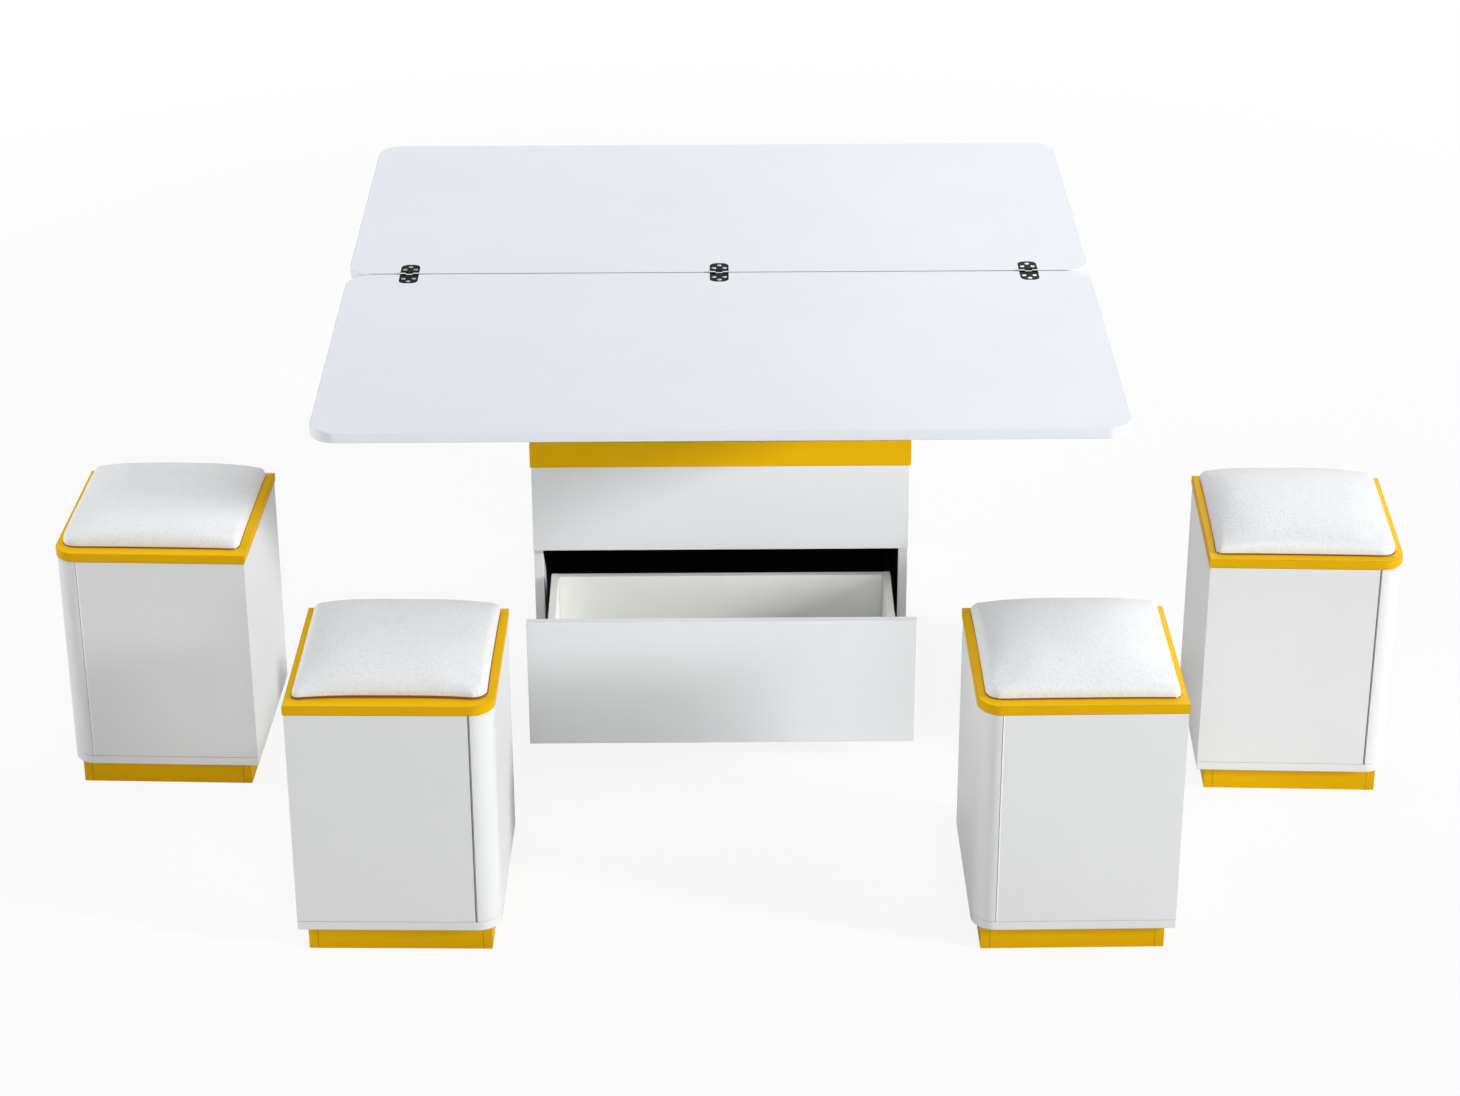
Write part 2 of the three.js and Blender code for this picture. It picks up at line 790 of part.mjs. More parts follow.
function tableLeaf() {
  const half = leaf_width / 2;
  const radii = Array(4).fill(leaf_corner_radius);
  const outline = rectangle([-half, seam_gap / 2], [half, leaf_depth], radii);
  const leaf = extrudeAlong("z", outline, -leaf_thickness, leaf_thickness, leaf_round, 2);
  const pocketFloor = -hinge_sink - hinge_plate_thickness - touch_gap;
  const notchHalf = hinge_width / 2 + touch_gap;
  const cutters = hingePlaces().flatMap((x) => [
    extrudeAlong("z", plateOutline(touch_gap), pocketFloor, cut_overrun - pocketFloor).translate(x, 0, 0),
    barAlongX(knuckle_radius + running_gap, x - notchHalf, x + notchHalf, 0, hinge_pin_lift),
  ]);
  return joined([leaf], cutters);
}

// Countersunk holes for the plate's three screws
function hingeScrewHoles() {
  const top = -hinge_sink;
  const shank = hinge_screw_radius;
  const head = hinge_screw_head_radius;
  const neck = { z: top - (head - shank), radius: shank };
  const places = [
    [-hinge_screw_side, hinge_screw_near],
    [hinge_screw_side, hinge_screw_near],
    [0, hinge_screw_far],
  ];
  return places.flatMap(([x, y]) => [
    uprightCutter(x, y, neck, { z: top + cut_overrun, radius: head + cut_overrun }),
    uprightCutter(x, y, { z: top - hinge_plate_thickness - cut_overrun, radius: shank }, neck),
  ]);
}

// The rear plate carries the two outer knuckles and the pin, the front plate the middle knuckle.
function hingePlate(isRear) {
  const half = hinge_width / 2;
  const middle = middle_knuckle_length / 2;
  const top = -hinge_sink;
  const plate = extrudeAlong("z", plateOutline(0), top - hinge_plate_thickness, hinge_plate_thickness);
  const ring = (from, to, radius) => barAlongX(radius, from, to, 0, hinge_pin_lift);
  const clear = knuckle_radius + running_gap;
  if (isRear)
    return joined(
      [
        plate,
        ring(-half, -middle - running_gap, knuckle_radius),
        ring(middle + running_gap, half, knuckle_radius),
        ring(-half, half, hinge_pin_radius),
      ],
      [
        joined(
          [ring(-middle - running_gap, middle + running_gap, clear)],
          [ring(-middle - cut_overrun, middle + cut_overrun, hinge_pin_radius)],
        ),
        ...hingeScrewHoles(),
      ],
    );
  const outerClear = [
    ring(-half - cut_overrun, -middle, clear),
    ring(middle, half + cut_overrun, clear),
    ring(-half - cut_overrun, half + cut_overrun, hinge_pin_radius + touch_gap),
  ];
  return joined([plate, ring(-middle, middle, knuckle_radius)], [...outerClear, ...hingeScrewHoles()]);
}

function tableTop(parent) {
  const top = folder(parent, 0, seam_y, surface_z);
  const leaf = tableLeaf();
  const rearPlate = hingePlate(true);
  const frontPlate = hingePlate(false);
  piece(top, "rear_leaf", leaf, white_laminate);
  piece(top, "front_leaf", leaf, white_laminate).rotation.z = Math.PI;
  hingePlaces().forEach((x, i) => {
    const number = i + 1;
    piece(top, "hinge_" + number + "_rear_plate", rearPlate, black_hinge).position.x = x;
    const front = piece(top, "hinge_" + number + "_front_plate", frontPlate, black_hinge);
    front.position.x = x;
    front.rotation.z = Math.PI;
  });
  topRails(top);
}

// Stools. The local origin is the middle of the footprint on the floor, the rounded corner front right.

const seat_bottom = stool_height - seat_thickness;
const body_half_width = stool_width / 2 - seat_overhang;
const body_half_depth = stool_depth / 2 - seat_overhang;
const body_corner_radius = stool_corner_radius - seat_overhang;

function roundedFootprint(halfWidth, halfDepth, radius) {
  return rectangle([-halfWidth, -halfDepth], [halfWidth, halfDepth], [0, radius, 0, 0]);
}

// Four boards glued into an open ring that leaves the rounded corner to the post.
function stoolBody() {
  const w = body_half_width;
  const d = body_half_depth;
  const cornerX = w - body_corner_radius - post_joint;
  const cornerY = -d + body_corner_radius + post_joint;
  const outline = new THREE.Shape([
    new THREE.Vector2(cornerX, -d),
    new THREE.Vector2(cornerX, -d + stool_wall),
    new THREE.Vector2(-w + stool_wall, -d + stool_wall),
    new THREE.Vector2(-w + stool_wall, d - stool_wall),
    new THREE.Vector2(w - stool_wall, d - stool_wall),
    new THREE.Vector2(w - stool_wall, cornerY),
    new THREE.Vector2(w, cornerY),
    new THREE.Vector2(w, d),
    new THREE.Vector2(-w, d),
    new THREE.Vector2(-w, -d),
  ]);
  const bottom = base_top + touch_gap;
  return extrudeAlong("z", outline, bottom, seat_bottom - touch_gap - bottom);
}

function cornerPost() {
  const centreX = body_half_width - body_corner_radius;
  const centreY = -body_half_depth + body_corner_radius;
  const outline = new THREE.Shape();
  outline.absarc(centreX, centreY, body_corner_radius, -Math.PI / 2, 0, false);
  outline.absarc(centreX, centreY, body_corner_radius - stool_wall, 0, -Math.PI / 2, true);
  outline.closePath();
  const bottom = base_top + touch_gap;
  return extrudeAlong("z", outline, bottom, seat_bottom - touch_gap - bottom);
}

// Outline of the cushion at one level: corner arcs joined by sides that draw in towards their middles.
// The front right corner is the wide one.
function cushionOutline(halfWidth, halfDepth, inset, pull) {
  const points = [];
  const tight = cushion_tight_radius - inset / 2;
  const wide = cushion_corner_radius - inset / 2;
  const x = halfWidth - inset;
  const y = halfDepth - inset;
  const corners = [
    { cx: x - tight, cy: y - tight, radius: tight },
    { cx: tight - x, cy: y - tight, radius: tight },
    { cx: tight - x, cy: tight - y, radius: tight },
    { cx: x - wide, cy: wide - y, radius: wide },
  ];
  corners.forEach(({ cx, cy, radius }, i) => {
    for (let k = 0; k <= cushion_steps_per_corner; k++) {
      const angle = (i + k / cushion_steps_per_corner) * (Math.PI / 2);
      points.push([cx + radius * Math.cos(angle), cy + radius * Math.sin(angle)]);
    }
    const next = corners[(i + 1) % 4];
    const inward = (i + 1) * (Math.PI / 2);
    for (let k = 1; k < cushion_steps_per_side; k++) {
      const share = k / cushion_steps_per_side;
      const draw = radius + (next.radius - radius) * share - pull * Math.sin(Math.PI * share) ** 2;
      points.push([
        cx + (next.cx - cx) * share + draw * Math.cos(inward),
        cy + (next.cy - cy) * share + draw * Math.sin(inward),
      ]);
    }
  });
  return points;
}

// Crowned pad: a wall that swells and rounds over into a domed top, closed by a flat foot.
function cushion() {
  const halfWidth = stool_width / 2 - cushion_side_inset;
  const halfDepth = (stool_depth - cushion_front_inset - cushion_back_inset) / 2;
  const tuck = cushion_edge_height * cushion_wall_tuck_share;
  const shoulder = cushion_edge_height * cushion_shoulder_share;
  const rings = [];
  const ring = (inset, z, pull) =>
    rings.push(
      cushionOutline(halfWidth, halfDepth, inset, pull).map(([x, y]) => new THREE.Vector3(x, y, z)),
    );
  ring(tuck, 0, cushion_pull);
  for (let k = 0; k <= cushion_wall_rings; k++) {
    const turn = (k / cushion_wall_rings) * (Math.PI / 2);
    const z = tuck + (cushion_edge_height - tuck) * Math.sin(turn);
    ring(shoulder * (1 - Math.cos(turn)), z, cushion_pull);
  }
  const rim = rings[rings.length - 1];
  const rimX = Math.max(...rim.map((p) => p.x));
  const rimY = Math.max(...rim.map((p) => p.y));
  for (let k = 1; k < cushion_top_rings; k++) {
    const share = 1 - k / cushion_top_rings;
    rings.push(
      rim.map(({ x, y, z }) => {
        const rise = (1 - ((x * share) / rimX) ** 2) * (1 - ((y * share) / rimY) ** 2);
        return new THREE.Vector3(x * share, y * share, z + cushion_crown * rise);
      }),
    );
  }
  const count = rim.length;
  const corners = rings.flat();
  const faces = [];
  for (let i = 0; i + 1 < rings.length; i++) {
    for (let k = 0; k < count; k++) {
      const a = i * count + k;
      const b = i * count + ((k + 1) % count);
      faces.push(a, b, b + count, a, b + count, a + count);
    }
  }
  const foot = corners.push(new THREE.Vector3(0, 0, 0)) - 1;
  const crown = corners.push(new THREE.Vector3(0, 0, cushion_edge_height + cushion_crown)) - 1;
  const last = (rings.length - 1) * count;
  for (let k = 0; k < count; k++) {
    const next = (k + 1) % count;
    faces.push(foot, next, k);
    faces.push(crown, last + k, last + next);
  }
  const geometry = new THREE.BufferGeometry().setFromPoints(corners);
  geometry.setIndex(faces);
  geometry.computeVertexNormals();
  return geometry;
}

function stools(parent) {
  const half = { width: stool_width / 2, depth: stool_depth / 2 };
  const seat = extrudeAlong(
    "z",
    roundedFootprint(half.width, half.depth, stool_corner_radius),
    seat_bottom,
    seat_thickness,
    seat_round,
  );
  const base = extrudeAlong(
    "z",
    roundedFootprint(body_half_width, body_half_depth, body_corner_radius),
    base_bottom,
    base_thickness,
    board_round,
  );
  const plinth = boardFrame(
    half.width - plinth_inset,
    half.depth - stool_plinth_setback,
    0,
    plinth_height,
    plinth_thickness,
    false,
  );
  const parts = [
    ["plinth", plinth, yellow_lacquer],
    ["base", base, white_board],
    ["body", stoolBody(), white_board],
    ["corner_post", cornerPost(), white_board],
    ["seat_board", seat, yellow_lacquer],
  ];
  const pad = cushion();
  const cushionShift = (cushion_front_inset - cushion_back_inset) / 2;
  stool_place_shares.forEach(({ across, ahead, turn_degrees, rounded_side }, i) => {
    const name = "stool_" + (i + 1) + "_";
    const stand = folder(parent, across * leaf_width, cabinet_front - ahead * leaf_depth, 0);
    stand.rotation.z = THREE.MathUtils.degToRad(turn_degrees);
    const stool = folder(stand, 0, half.depth, 0);
    stool.scale.x = rounded_side;
    for (const [part, geometry, material] of parts) piece(stool, name + part, geometry, material);
    const place = folder(stool, 0, cushionShift, stool_height + touch_gap);
    piece(place, name + "cushion", pad, white_leather);
  });
}

// Assembly

cabinet(table);
const pulled_out = folder(table, 0, -drawer_travel, 0);
const half_out = folder(table, 0, -drawer_travel / 2, 0);
drawer(pulled_out);
slides(table, half_out, pulled_out);

liftBracket(table);
const front_arms = folder(table, 0, front_pivot.y, front_pivot.z);
front_arms.rotation.x = -arm_raised;
frontArms(front_arms);
const rear_arms = folder(table, 0, rear_pivot.y, rear_pivot.z);
rear_arms.rotation.x = -arm_raised;
rearArms(rear_arms);
springs(table);

tableTop(table);
stools(table);

export default table;
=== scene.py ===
"""Looks of the lift-top coffee table: a fold-out top, one drawer and four padded stools.

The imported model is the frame. This script gives each board and fitting its finish, adds the leather
cushions, the coils, the screws and the smooth edges that plain solids lack, and sets up the studio.
All lengths are metres, in the frame of the part.
"""

import json
import logging
import math
from dataclasses import dataclass
from enum import Enum
from typing import ClassVar

import bmesh
import bpy
from mathutils import Matrix, Vector, noise
from mathutils.bvhtree import BVHTree

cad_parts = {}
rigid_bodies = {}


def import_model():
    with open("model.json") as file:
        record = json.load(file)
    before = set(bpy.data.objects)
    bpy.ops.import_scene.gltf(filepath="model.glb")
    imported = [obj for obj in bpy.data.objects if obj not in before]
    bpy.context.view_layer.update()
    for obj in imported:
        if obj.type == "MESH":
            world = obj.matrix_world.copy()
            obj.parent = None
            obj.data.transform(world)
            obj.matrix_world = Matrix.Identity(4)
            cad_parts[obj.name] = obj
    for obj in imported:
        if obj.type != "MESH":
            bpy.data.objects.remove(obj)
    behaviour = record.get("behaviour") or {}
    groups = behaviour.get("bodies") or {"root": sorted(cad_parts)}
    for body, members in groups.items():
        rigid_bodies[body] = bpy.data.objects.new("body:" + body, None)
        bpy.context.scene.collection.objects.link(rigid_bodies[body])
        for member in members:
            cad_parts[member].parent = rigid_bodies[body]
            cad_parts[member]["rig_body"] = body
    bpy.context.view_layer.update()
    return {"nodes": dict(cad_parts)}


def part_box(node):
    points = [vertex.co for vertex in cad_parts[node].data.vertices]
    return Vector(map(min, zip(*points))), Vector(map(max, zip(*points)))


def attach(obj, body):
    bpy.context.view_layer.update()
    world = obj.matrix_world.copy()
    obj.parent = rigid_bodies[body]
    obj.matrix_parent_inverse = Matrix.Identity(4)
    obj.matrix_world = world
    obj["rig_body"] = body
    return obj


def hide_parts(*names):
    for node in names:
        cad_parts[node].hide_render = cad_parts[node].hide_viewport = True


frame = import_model()

log = logging.getLogger("table")

MM = 0.001
Colour = tuple[float, float, float]


# Shader maths


@dataclass(frozen=True)
class Signal:
    """An output of a shader tree. Arithmetic on it adds Math nodes."""

    shader: "Shader"
    socket: bpy.types.NodeSocket

    def math(self, operation: str, *values: "Signal | float") -> "Signal":
        """Adds a Math node whose inputs are the values in order."""
        return self.shader.node("ShaderNodeMath", dict(enumerate(values)), operation=operation)

    def __add__(self, other: "Signal | float") -> "Signal":
        """Sum of this signal and another value."""
        return self.math("ADD", self, other)

    def __radd__(self, other: float) -> "Signal":
        """Sum with a number on the left."""
        return self.math("ADD", other, self)

    def __sub__(self, other: "Signal | float") -> "Signal":
        """Difference from another value."""
        return self.math("SUBTRACT", self, other)

    def __rsub__(self, other: float) -> "Signal":
        """Difference with a number on the left."""
        return self.math("SUBTRACT", other, self)

    def __mul__(self, other: "Signal | float") -> "Signal":
        """Product with another value."""
        return self.math("MULTIPLY", self, other)

    def __abs__(self) -> "Signal":
        """Size without its sign."""
        return self.math("ABSOLUTE", self)

    def below(self, limit: "Signal | float") -> "Signal":
        """1 where the signal is less than the limit, else 0."""
        return self.math("LESS_THAN", self, limit)

    def above(self, limit: "Signal | float") -> "Signal":
        """1 where the signal is more than the limit, else 0."""
        return self.math("GREATER_THAN", self, limit)

    def at_most(self, limit: "Signal | float") -> "Signal":
        """The smaller of the signal and the limit."""
        return self.math("MINIMUM", self, limit)

    def at_least(self, limit: "Signal | float") -> "Signal":
        """The larger of the signal and the limit."""
        return self.math("MAXIMUM", self, limit)


class Shader:
    """The node tree of one material or world, built node by node."""

    def __init__(self, owner: bpy.types.Material | bpy.types.World) -> None:
        """Starts with an empty tree.

        Args:
            owner: The material or world that the tree belongs to.
        """
        owner.use_nodes = True
        self.tree = owner.node_tree
        self.tree.nodes.clear()

    def node(
        self,
        kind: str,
        sockets: dict[str | int, object] | None = None,
        output: str | int = 0,
        **settings: object,
    ) -> Signal:
        """Adds a node of any kind.

        Args:
            kind: The node's type.
            sockets: The value or signal of each input, by name or number.
            output: Name or number of the output that is wanted.
            settings: The node's own settings, set first.

        Returns:
            That output.
        """
        made = self.tree.nodes.new(kind)
        for key, value in settings.items():
            setattr(made, key, value)
        for key, value in (sockets or {}).items():
            socket = made.inputs[key]
            if isinstance(value, Signal):
                self.tree.links.new(value.socket, socket)
            else:
                socket.default_value = (*value, 1.0) if socket.type == "RGBA" else value
        return Signal(self, made.outputs[output])

    def close(self, kind: str, result: Signal) -> None:
        """Ends the tree with an output node."""
        self.tree.links.new(result.socket, self.tree.nodes.new(kind).inputs[0])

    def place(
        self, scale: Colour = (1, 1, 1), turn: float = 0.0, origin: Colour = (0, 0, 0)
    ) -> Signal:
        """Object coordinates, centred on a point, turned back about the upright, and stretched.

        Args:
            scale: Stretch along each axis.
            turn: Turn of the piece about the upright, in radians.
            origin: The point that becomes zero.

        Returns:
            The coordinates.
        """
        raw = self.node("ShaderNodeTexCoord", output="Object")
        moved = self.node("ShaderNodeVectorMath", {0: raw, 1: origin}, operation="SUBTRACT")
        return self.node(
            "ShaderNodeMapping", {"Vector": moved, "Rotation": (0, 0, -turn), "Scale": scale}
        )

    def axes(self, vector: Signal) -> tuple[Signal, Signal, Signal]:
        """The three parts of a vector."""
        return tuple(self.node("ShaderNodeSeparateXYZ", {0: vector}, axis) for axis in range(3))

    def cloud(
        self, vector: Signal, scale: float, detail: float = 2.0, roughness: float = 0.5
    ) -> Signal:
        """Soft noise round a half, with this many blobs per metre."""
        sockets = {"Vector": vector, "Scale": scale, "Detail": detail, "Roughness": roughness}
        return self.node("ShaderNodeTexNoise", sockets, "Fac")

    def cells(self, vector: Signal, scale: float) -> Signal:
        """Distance to the nearest cell's middle, with this many cells per metre."""
        return self.node("ShaderNodeTexVoronoi", {"Vector": vector, "Scale": scale}, "Distance")

    def blend(self, share: Signal, first: Signal | Colour, second: Signal | Colour) -> Signal:
        """A colour between two, the first where the share is 0 and the second where it is 1."""
        return self.node("ShaderNodeMix", {0: share, 6: first, 7: second}, 2, data_type="RGBA")

    def surface(
        self,
        colour: Signal,
        roughness: Signal,
        height: Signal,
        depth: float,
        constants: dict[str, object],
    ) -> None:
        """Closes the tree with a shader whose normal follows a height.

        Args:
            colour: Colour over the surface.
            roughness: Roughness over the surface.
            height: Height over the surface, 0 to 1.
            depth: Size of that height.
            constants: Values that are the same all over, by socket name.
        """
        bump = self.node("ShaderNodeBump", {"Height": height, "Distance": depth, "Strength": 1.0})
        shader = self.node(
            "ShaderNodeBsdfPrincipled",
            {"Base Color": colour, "Roughness": roughness, "Normal": bump, **constants},
        )
        self.close("ShaderNodeOutputMaterial", shader)


# Finishes


@dataclass(frozen=True)
class Finish:
    """A surface of a colour with a cast of a second one. It makes its material only once."""

    name: str
    colour: Colour
    cast: Colour
    roughness: float
    _made: ClassVar[dict["Finish", bpy.types.Material]] = {}

    def material(self) -> bpy.types.Material:
        """Builds the material at its first use.

        Returns:
            The one material of this finish.
        """
        if self not in Finish._made:
            made = bpy.data.materials.new(self.name)
            self.build(Shader(made))
            Finish._made[self] = made
        return Finish._made[self]

    def build(self, shader: Shader) -> None:
        """Draws the finish into an empty tree."""
        raise NotImplementedError


@dataclass(frozen=True)
class PaintedShadeBay:
    """Painted shade in the hollow behind the drawer: a box within pale boards, painted near black
    where shade falls.

    Light from the right reaches the front of the left wall, which is left unpainted; the painted
    shade starts further in there, and nearer the front towards the top, where the fascia's shadow
    falls.
    """

    low: Colour = (-287.2 * MM, -290.5 * MM, 52.1 * MM)
    high: Colour = (287.2 * MM, 277.2 * MM, 265.5 * MM)
    lit_wall: float = -286.5 * MM
    lit_top: float = 258 * MM
    lit_slope: float = 1.07
    lit_depth: float = 80 * MM

    def mask(self, shader: Shader, at: Signal) -> Signal:
        """1 where shade is painted in the hollow, 0 elsewhere.

        Args:
            shader: The finish's tree.
            at: Object coordinates.

        Returns:
            The mask.
        """
        x, y, z = axes = shader.axes(at)
        reach = ((self.lit_top - z) * self.lit_slope).at_most(self.lit_depth)
        dark = 1.0 - x.below(self.lit_wall) * y.below(reach + self.low[1])
        for axis, low, high in zip(axes, self.low, self.high):
            dark = dark * axis.above(low) * axis.below(high)
        return dark


@dataclass(frozen=True)
class Laminate(Finish):
    """Pressed laminate or lacquer on board: an even colour over a fine orange peel.

    A board can carry painted shade on its sides, darker than its top face and ending just under it,
    and a thin line of painted shade along the seam where it meets the next board.
    """

    drift_per_metre: float = 5.0
    speck_per_metre: float = 900.0
    peel_per_metre: float = 420.0
    peel_depth: float = 0.04 * MM
    gloss: float = 0.5
    # Painted shade inside the drawer's hollow: where it lies and its near-black colour.
    painted_shade_bay: PaintedShadeBay | None = None
    painted_shade_colour: Colour = (0.012, 0.012, 0.011)
    painted_side_shade: Colour | None = None
    painted_side_shade_top: float = 0.0
    # Where and how the line of painted shade along a seam is drawn.
    joint_y: float | None = None
    seam_shade_low: float = 658.7 * MM
    joint_half: float = 2.2 * MM
    seam_shade_colour: Colour = (0.2, 0.21, 0.23)

    def build(self, shader: Shader) -> None:
        """Draws the board's finish.

        Args:
            shader: The empty tree.
        """
        at = shader.place()
        drift = shader.cloud(at, self.drift_per_metre, 3.0, 0.6)
        speck = shader.cloud(at, self.speck_per_metre, 1.0)
        even = shader.blend((drift - 0.5) * 1.6 + speck * 0.25 + 0.25, self.colour, self.cast)
        peel = shader.cloud(at, self.peel_per_metre, 2.0, 0.45)
        shader.surface(
            self.marked(shader, at, even),
            (drift - 0.5) * 0.1 + (speck - 0.5) * 0.06 + self.roughness,
            peel,
            self.peel_depth,
            {"Specular IOR Level": self.gloss},
        )

    def marked(self, shader: Shader, at: Signal, even: Signal) -> Signal:
        """Adds the places of painted shade.

        Args:
            shader: The finish's tree.
            at: Object coordinates.
            even: The colour of the open surface.

        Returns:
            The colour of the whole board.
        """
        colour = even
        _, along, height = shader.axes(at)
        # Near-black painted shade inside the drawer's hollow.
        if self.painted_shade_bay:
            colour = shader.blend(self.painted_shade_bay.mask(shader, at), colour, self.painted_shade_colour)
        # Painted shade on the board's sides, below its top face.
        if self.painted_side_shade:
            colour = shader.blend(height.below(self.painted_side_shade_top), colour, self.painted_side_shade)
        # A line of painted shade along the seam, on the top edges only.
        if self.joint_y is not None:
            line = abs(along - self.joint_y).below(self.joint_half) * height.above(self.seam_shade_low)
            colour = shader.blend(line, colour, self.seam_shade_colour)
        return colour


@dataclass(frozen=True, kw_only=True)
class StoolLaminate(Laminate):
    """White laminate with fine joint lines beside a corner post and above a base board.

    The post's line is painted shade on some stools and a painted highlight on others; the base's
    line is a grey joint line with painted shade.
    """

    centre: Colour
    turn: float
    post_joint: float
    # Painted shade on some stools and a painted highlight on others, in the joint beside the post.
    post_shading_line: Colour
    post_half: float = 0.9 * MM
    base_joint: float = 52.4 * MM
    base_joint_shade: Colour = (0.5, 0.5, 0.5)
    base_half: float = 0.5 * MM

    def marked(self, shader: Shader, at: Signal, even: Signal) -> Signal:
        """Adds the joint lines with their painted shade and highlight.

        Args:
            shader: The finish's tree.
            at: Object coordinates.
            even: The colour of the open surface.

        Returns:
            The colour of the whole board.
        """
        across, along, height = shader.axes(shader.place(turn=self.turn, origin=self.centre))
        # Painted shade or highlight in the post's joint, by the stool's side; painted shade in the
        # base's joint.
        post = abs(across - self.post_joint).below(self.post_half)
        post = post * along.below(0.0) * height.above(self.base_joint)
        base = abs(height - self.base_joint).below(self.base_half)
        return shader.blend(post, shader.blend(base, even, self.base_joint_shade), self.post_shading_line)


@dataclass(frozen=True)
class PlinthLacquer(Finish):
    """Lacquer on a plinth with a fine line where its front board meets each side board."""

    line: Colour
    centre: Colour
    turn: float
    joint_half: float
    line_half: float = 0.4 * MM
    drift_per_metre: float = 9.0
    peel_per_metre: float = 420.0
    peel_depth: float = 0.05 * MM
    gloss: float = 0.08

    def build(self, shader: Shader) -> None:
        """Draws the lacquer and its joint lines.

        Args:
            shader: The empty tree.
        """
        at = shader.place(turn=self.turn, origin=self.centre)
        across, _, _ = shader.axes(at)
        joint = abs(abs(across) - self.joint_half).below(self.line_half)
        drift = shader.cloud(at, self.drift_per_metre, 3.0, 0.6)
        peel = shader.cloud(at, self.peel_per_metre, 2.0, 0.45)
        coat = shader.blend((drift - 0.5) * 1.6 + 0.4, self.colour, self.cast)
        shader.surface(
            shader.blend(joint, coat, self.line),
            (drift - 0.5) * 0.1 + self.roughness,
            peel - joint * 2.0,
            self.peel_depth,
            {"Specular IOR Level": self.gloss},
        )


@dataclass(frozen=True)
class PebbledLeather(Finish):
    """Upholstery leather with a fine pebble grain and soft creases."""

    grain_per_metre: float = 320.0
    fine_ratio: float = 2.3
    warp_per_metre: float = 160.0
    crease_per_metre: float = 38.0
    depth: float = 0.45 * MM

    def build(self, shader: Shader) -> None:
        """Draws the leather.

        Args:
            shader: The empty tree.
        """
        at = shader.place()
        warp = shader.cloud(at, self.warp_per_metre, 2.0)
        grain = shader.cells(at, self.grain_per_metre)
        fine = shader.cells(at, self.grain_per_metre * self.fine_ratio)
        crease = shader.cloud(at, self.crease_per_metre, 4.0, 0.62)
        height = 1.0 - grain * 0.75 - fine * 0.2 + (warp - 0.5) * 0.5 + (crease - 0.5) * 0.9
        valley = (grain - 0.35) * 1.1 + (crease - 0.5) * 0.35
        shader.surface(
            shader.blend(valley, self.colour, self.cast),
            self.roughness + (grain - 0.4) * 0.25 + (warp - 0.5) * 0.12,
            height,
            self.depth,
            {"IOR": 1.46, "Sheen Weight": 0.06, "Sheen Roughness": 0.5},
        )


@dataclass(frozen=True)
class CoatedSteel(Finish):
    """Steel with a thin matt or satin coat, rubbed a little here and there."""

    metallic: float
    roughness_swing: float = 0.25
    patch_per_metre: float = 60.0
    texture_per_metre: float = 1500.0
    texture_depth: float = 0.05 * MM
    gloss: float = 0.5

    def build(self, shader: Shader) -> None:
        """Draws the coat.

        Args:
            shader: The empty tree.
        """
        at = shader.place()
        texture = shader.cloud(at, self.texture_per_metre, 2.0, 0.6)
        patch = shader.cloud(at, self.patch_per_metre, 4.0, 0.65)
        share = (patch - 0.55) * 2.2 + (texture - 0.5) * 0.5
        shader.surface(
            self.marked(shader, shader.blend(share, self.colour, self.cast)),
            self.roughness + (patch - 0.5) * self.roughness_swing,
            texture,
            self.texture_depth,
            {"Metallic": self.metallic, "Specular IOR Level": self.gloss},
        )

    def marked(self, shader: Shader, coat: Signal) -> Signal:
        """The coat with the places that have a tone of their own, none here."""
        return coat


@dataclass(frozen=True, kw_only=True)
class HingePlating(CoatedSteel):
    """Black plating with painted highlights on top of the outer knuckles and in front of the middle
    one.
    """

    seam: float
    surface: float
    spacing: float
    painted_glint_colour: Colour = (0.95, 0.95, 0.96)
    knuckle_half: float = 4.2 * MM
    middle_half: float = 5.5 * MM
    slant: tuple[float, float] = (0.416, 0.909)
    outer_glint_rise: float = 1.0 * MM
    middle_glint_rise: float = -0.6 * MM
    line_half: float = 0.75 * MM

    def marked(self, shader: Shader, coat: Signal) -> Signal:
        """Adds the painted highlight lines.

        Args:
            shader: The finish's tree.
            coat: The colour of the plating without its painted highlights.

        Returns:
            The colour of the whole hinge.
        """
        across, along, height = shader.axes(shader.place(origin=(0, self.seam, self.surface)))
        across = across.math("WRAP", across, self.spacing / 2, -self.spacing / 2)
        middle = abs(across).below(self.middle_half)
        # Painted highlight lines along the knuckles.
        rise = along * self.slant[0] + height * self.slant[1]
        line = middle * (self.middle_glint_rise - self.outer_glint_rise) + self.outer_glint_rise
        painted_glint = abs(rise - line).below(self.line_half) * abs(along).below(self.knuckle_half)
        return shader.blend(painted_glint, coat, self.painted_glint_colour)


@dataclass(frozen=True)
class RolledSteel(Finish):
    """Bare or zinc plated steel with streaks along its length."""

    streaks: Colour
    spangle_per_metre: float = 220.0
    streak_depth: float = 0.03 * MM

    def build(self, shader: Shader) -> None:
        """Draws the metal.

        Args:
            shader: The empty tree.
        """
        streak = shader.cloud(shader.place(self.streaks), 1.0, 3.0, 0.6)
        spangle = shader.cells(shader.place(), self.spangle_per_metre)
        shader.surface(
            shader.blend((streak - 0.45) * 1.5 + (spangle - 0.4) * 0.5, self.colour, self.cast),
            self.roughness + (streak - 0.5) * 0.3 + (spangle - 0.4) * 0.12,
            streak,
            self.streak_depth,
            {"Metallic": 1.0},
        )


# White top laminate with a line of painted shade along the seam between the leaves.
WHITE_TOP = Laminate(
    "white_top_laminate",
    (0.85, 0.885, 0.935),
    (0.825, 0.86, 0.915),
    0.42,
    gloss=0.1,
    joint_y=-94.01 * MM,
)
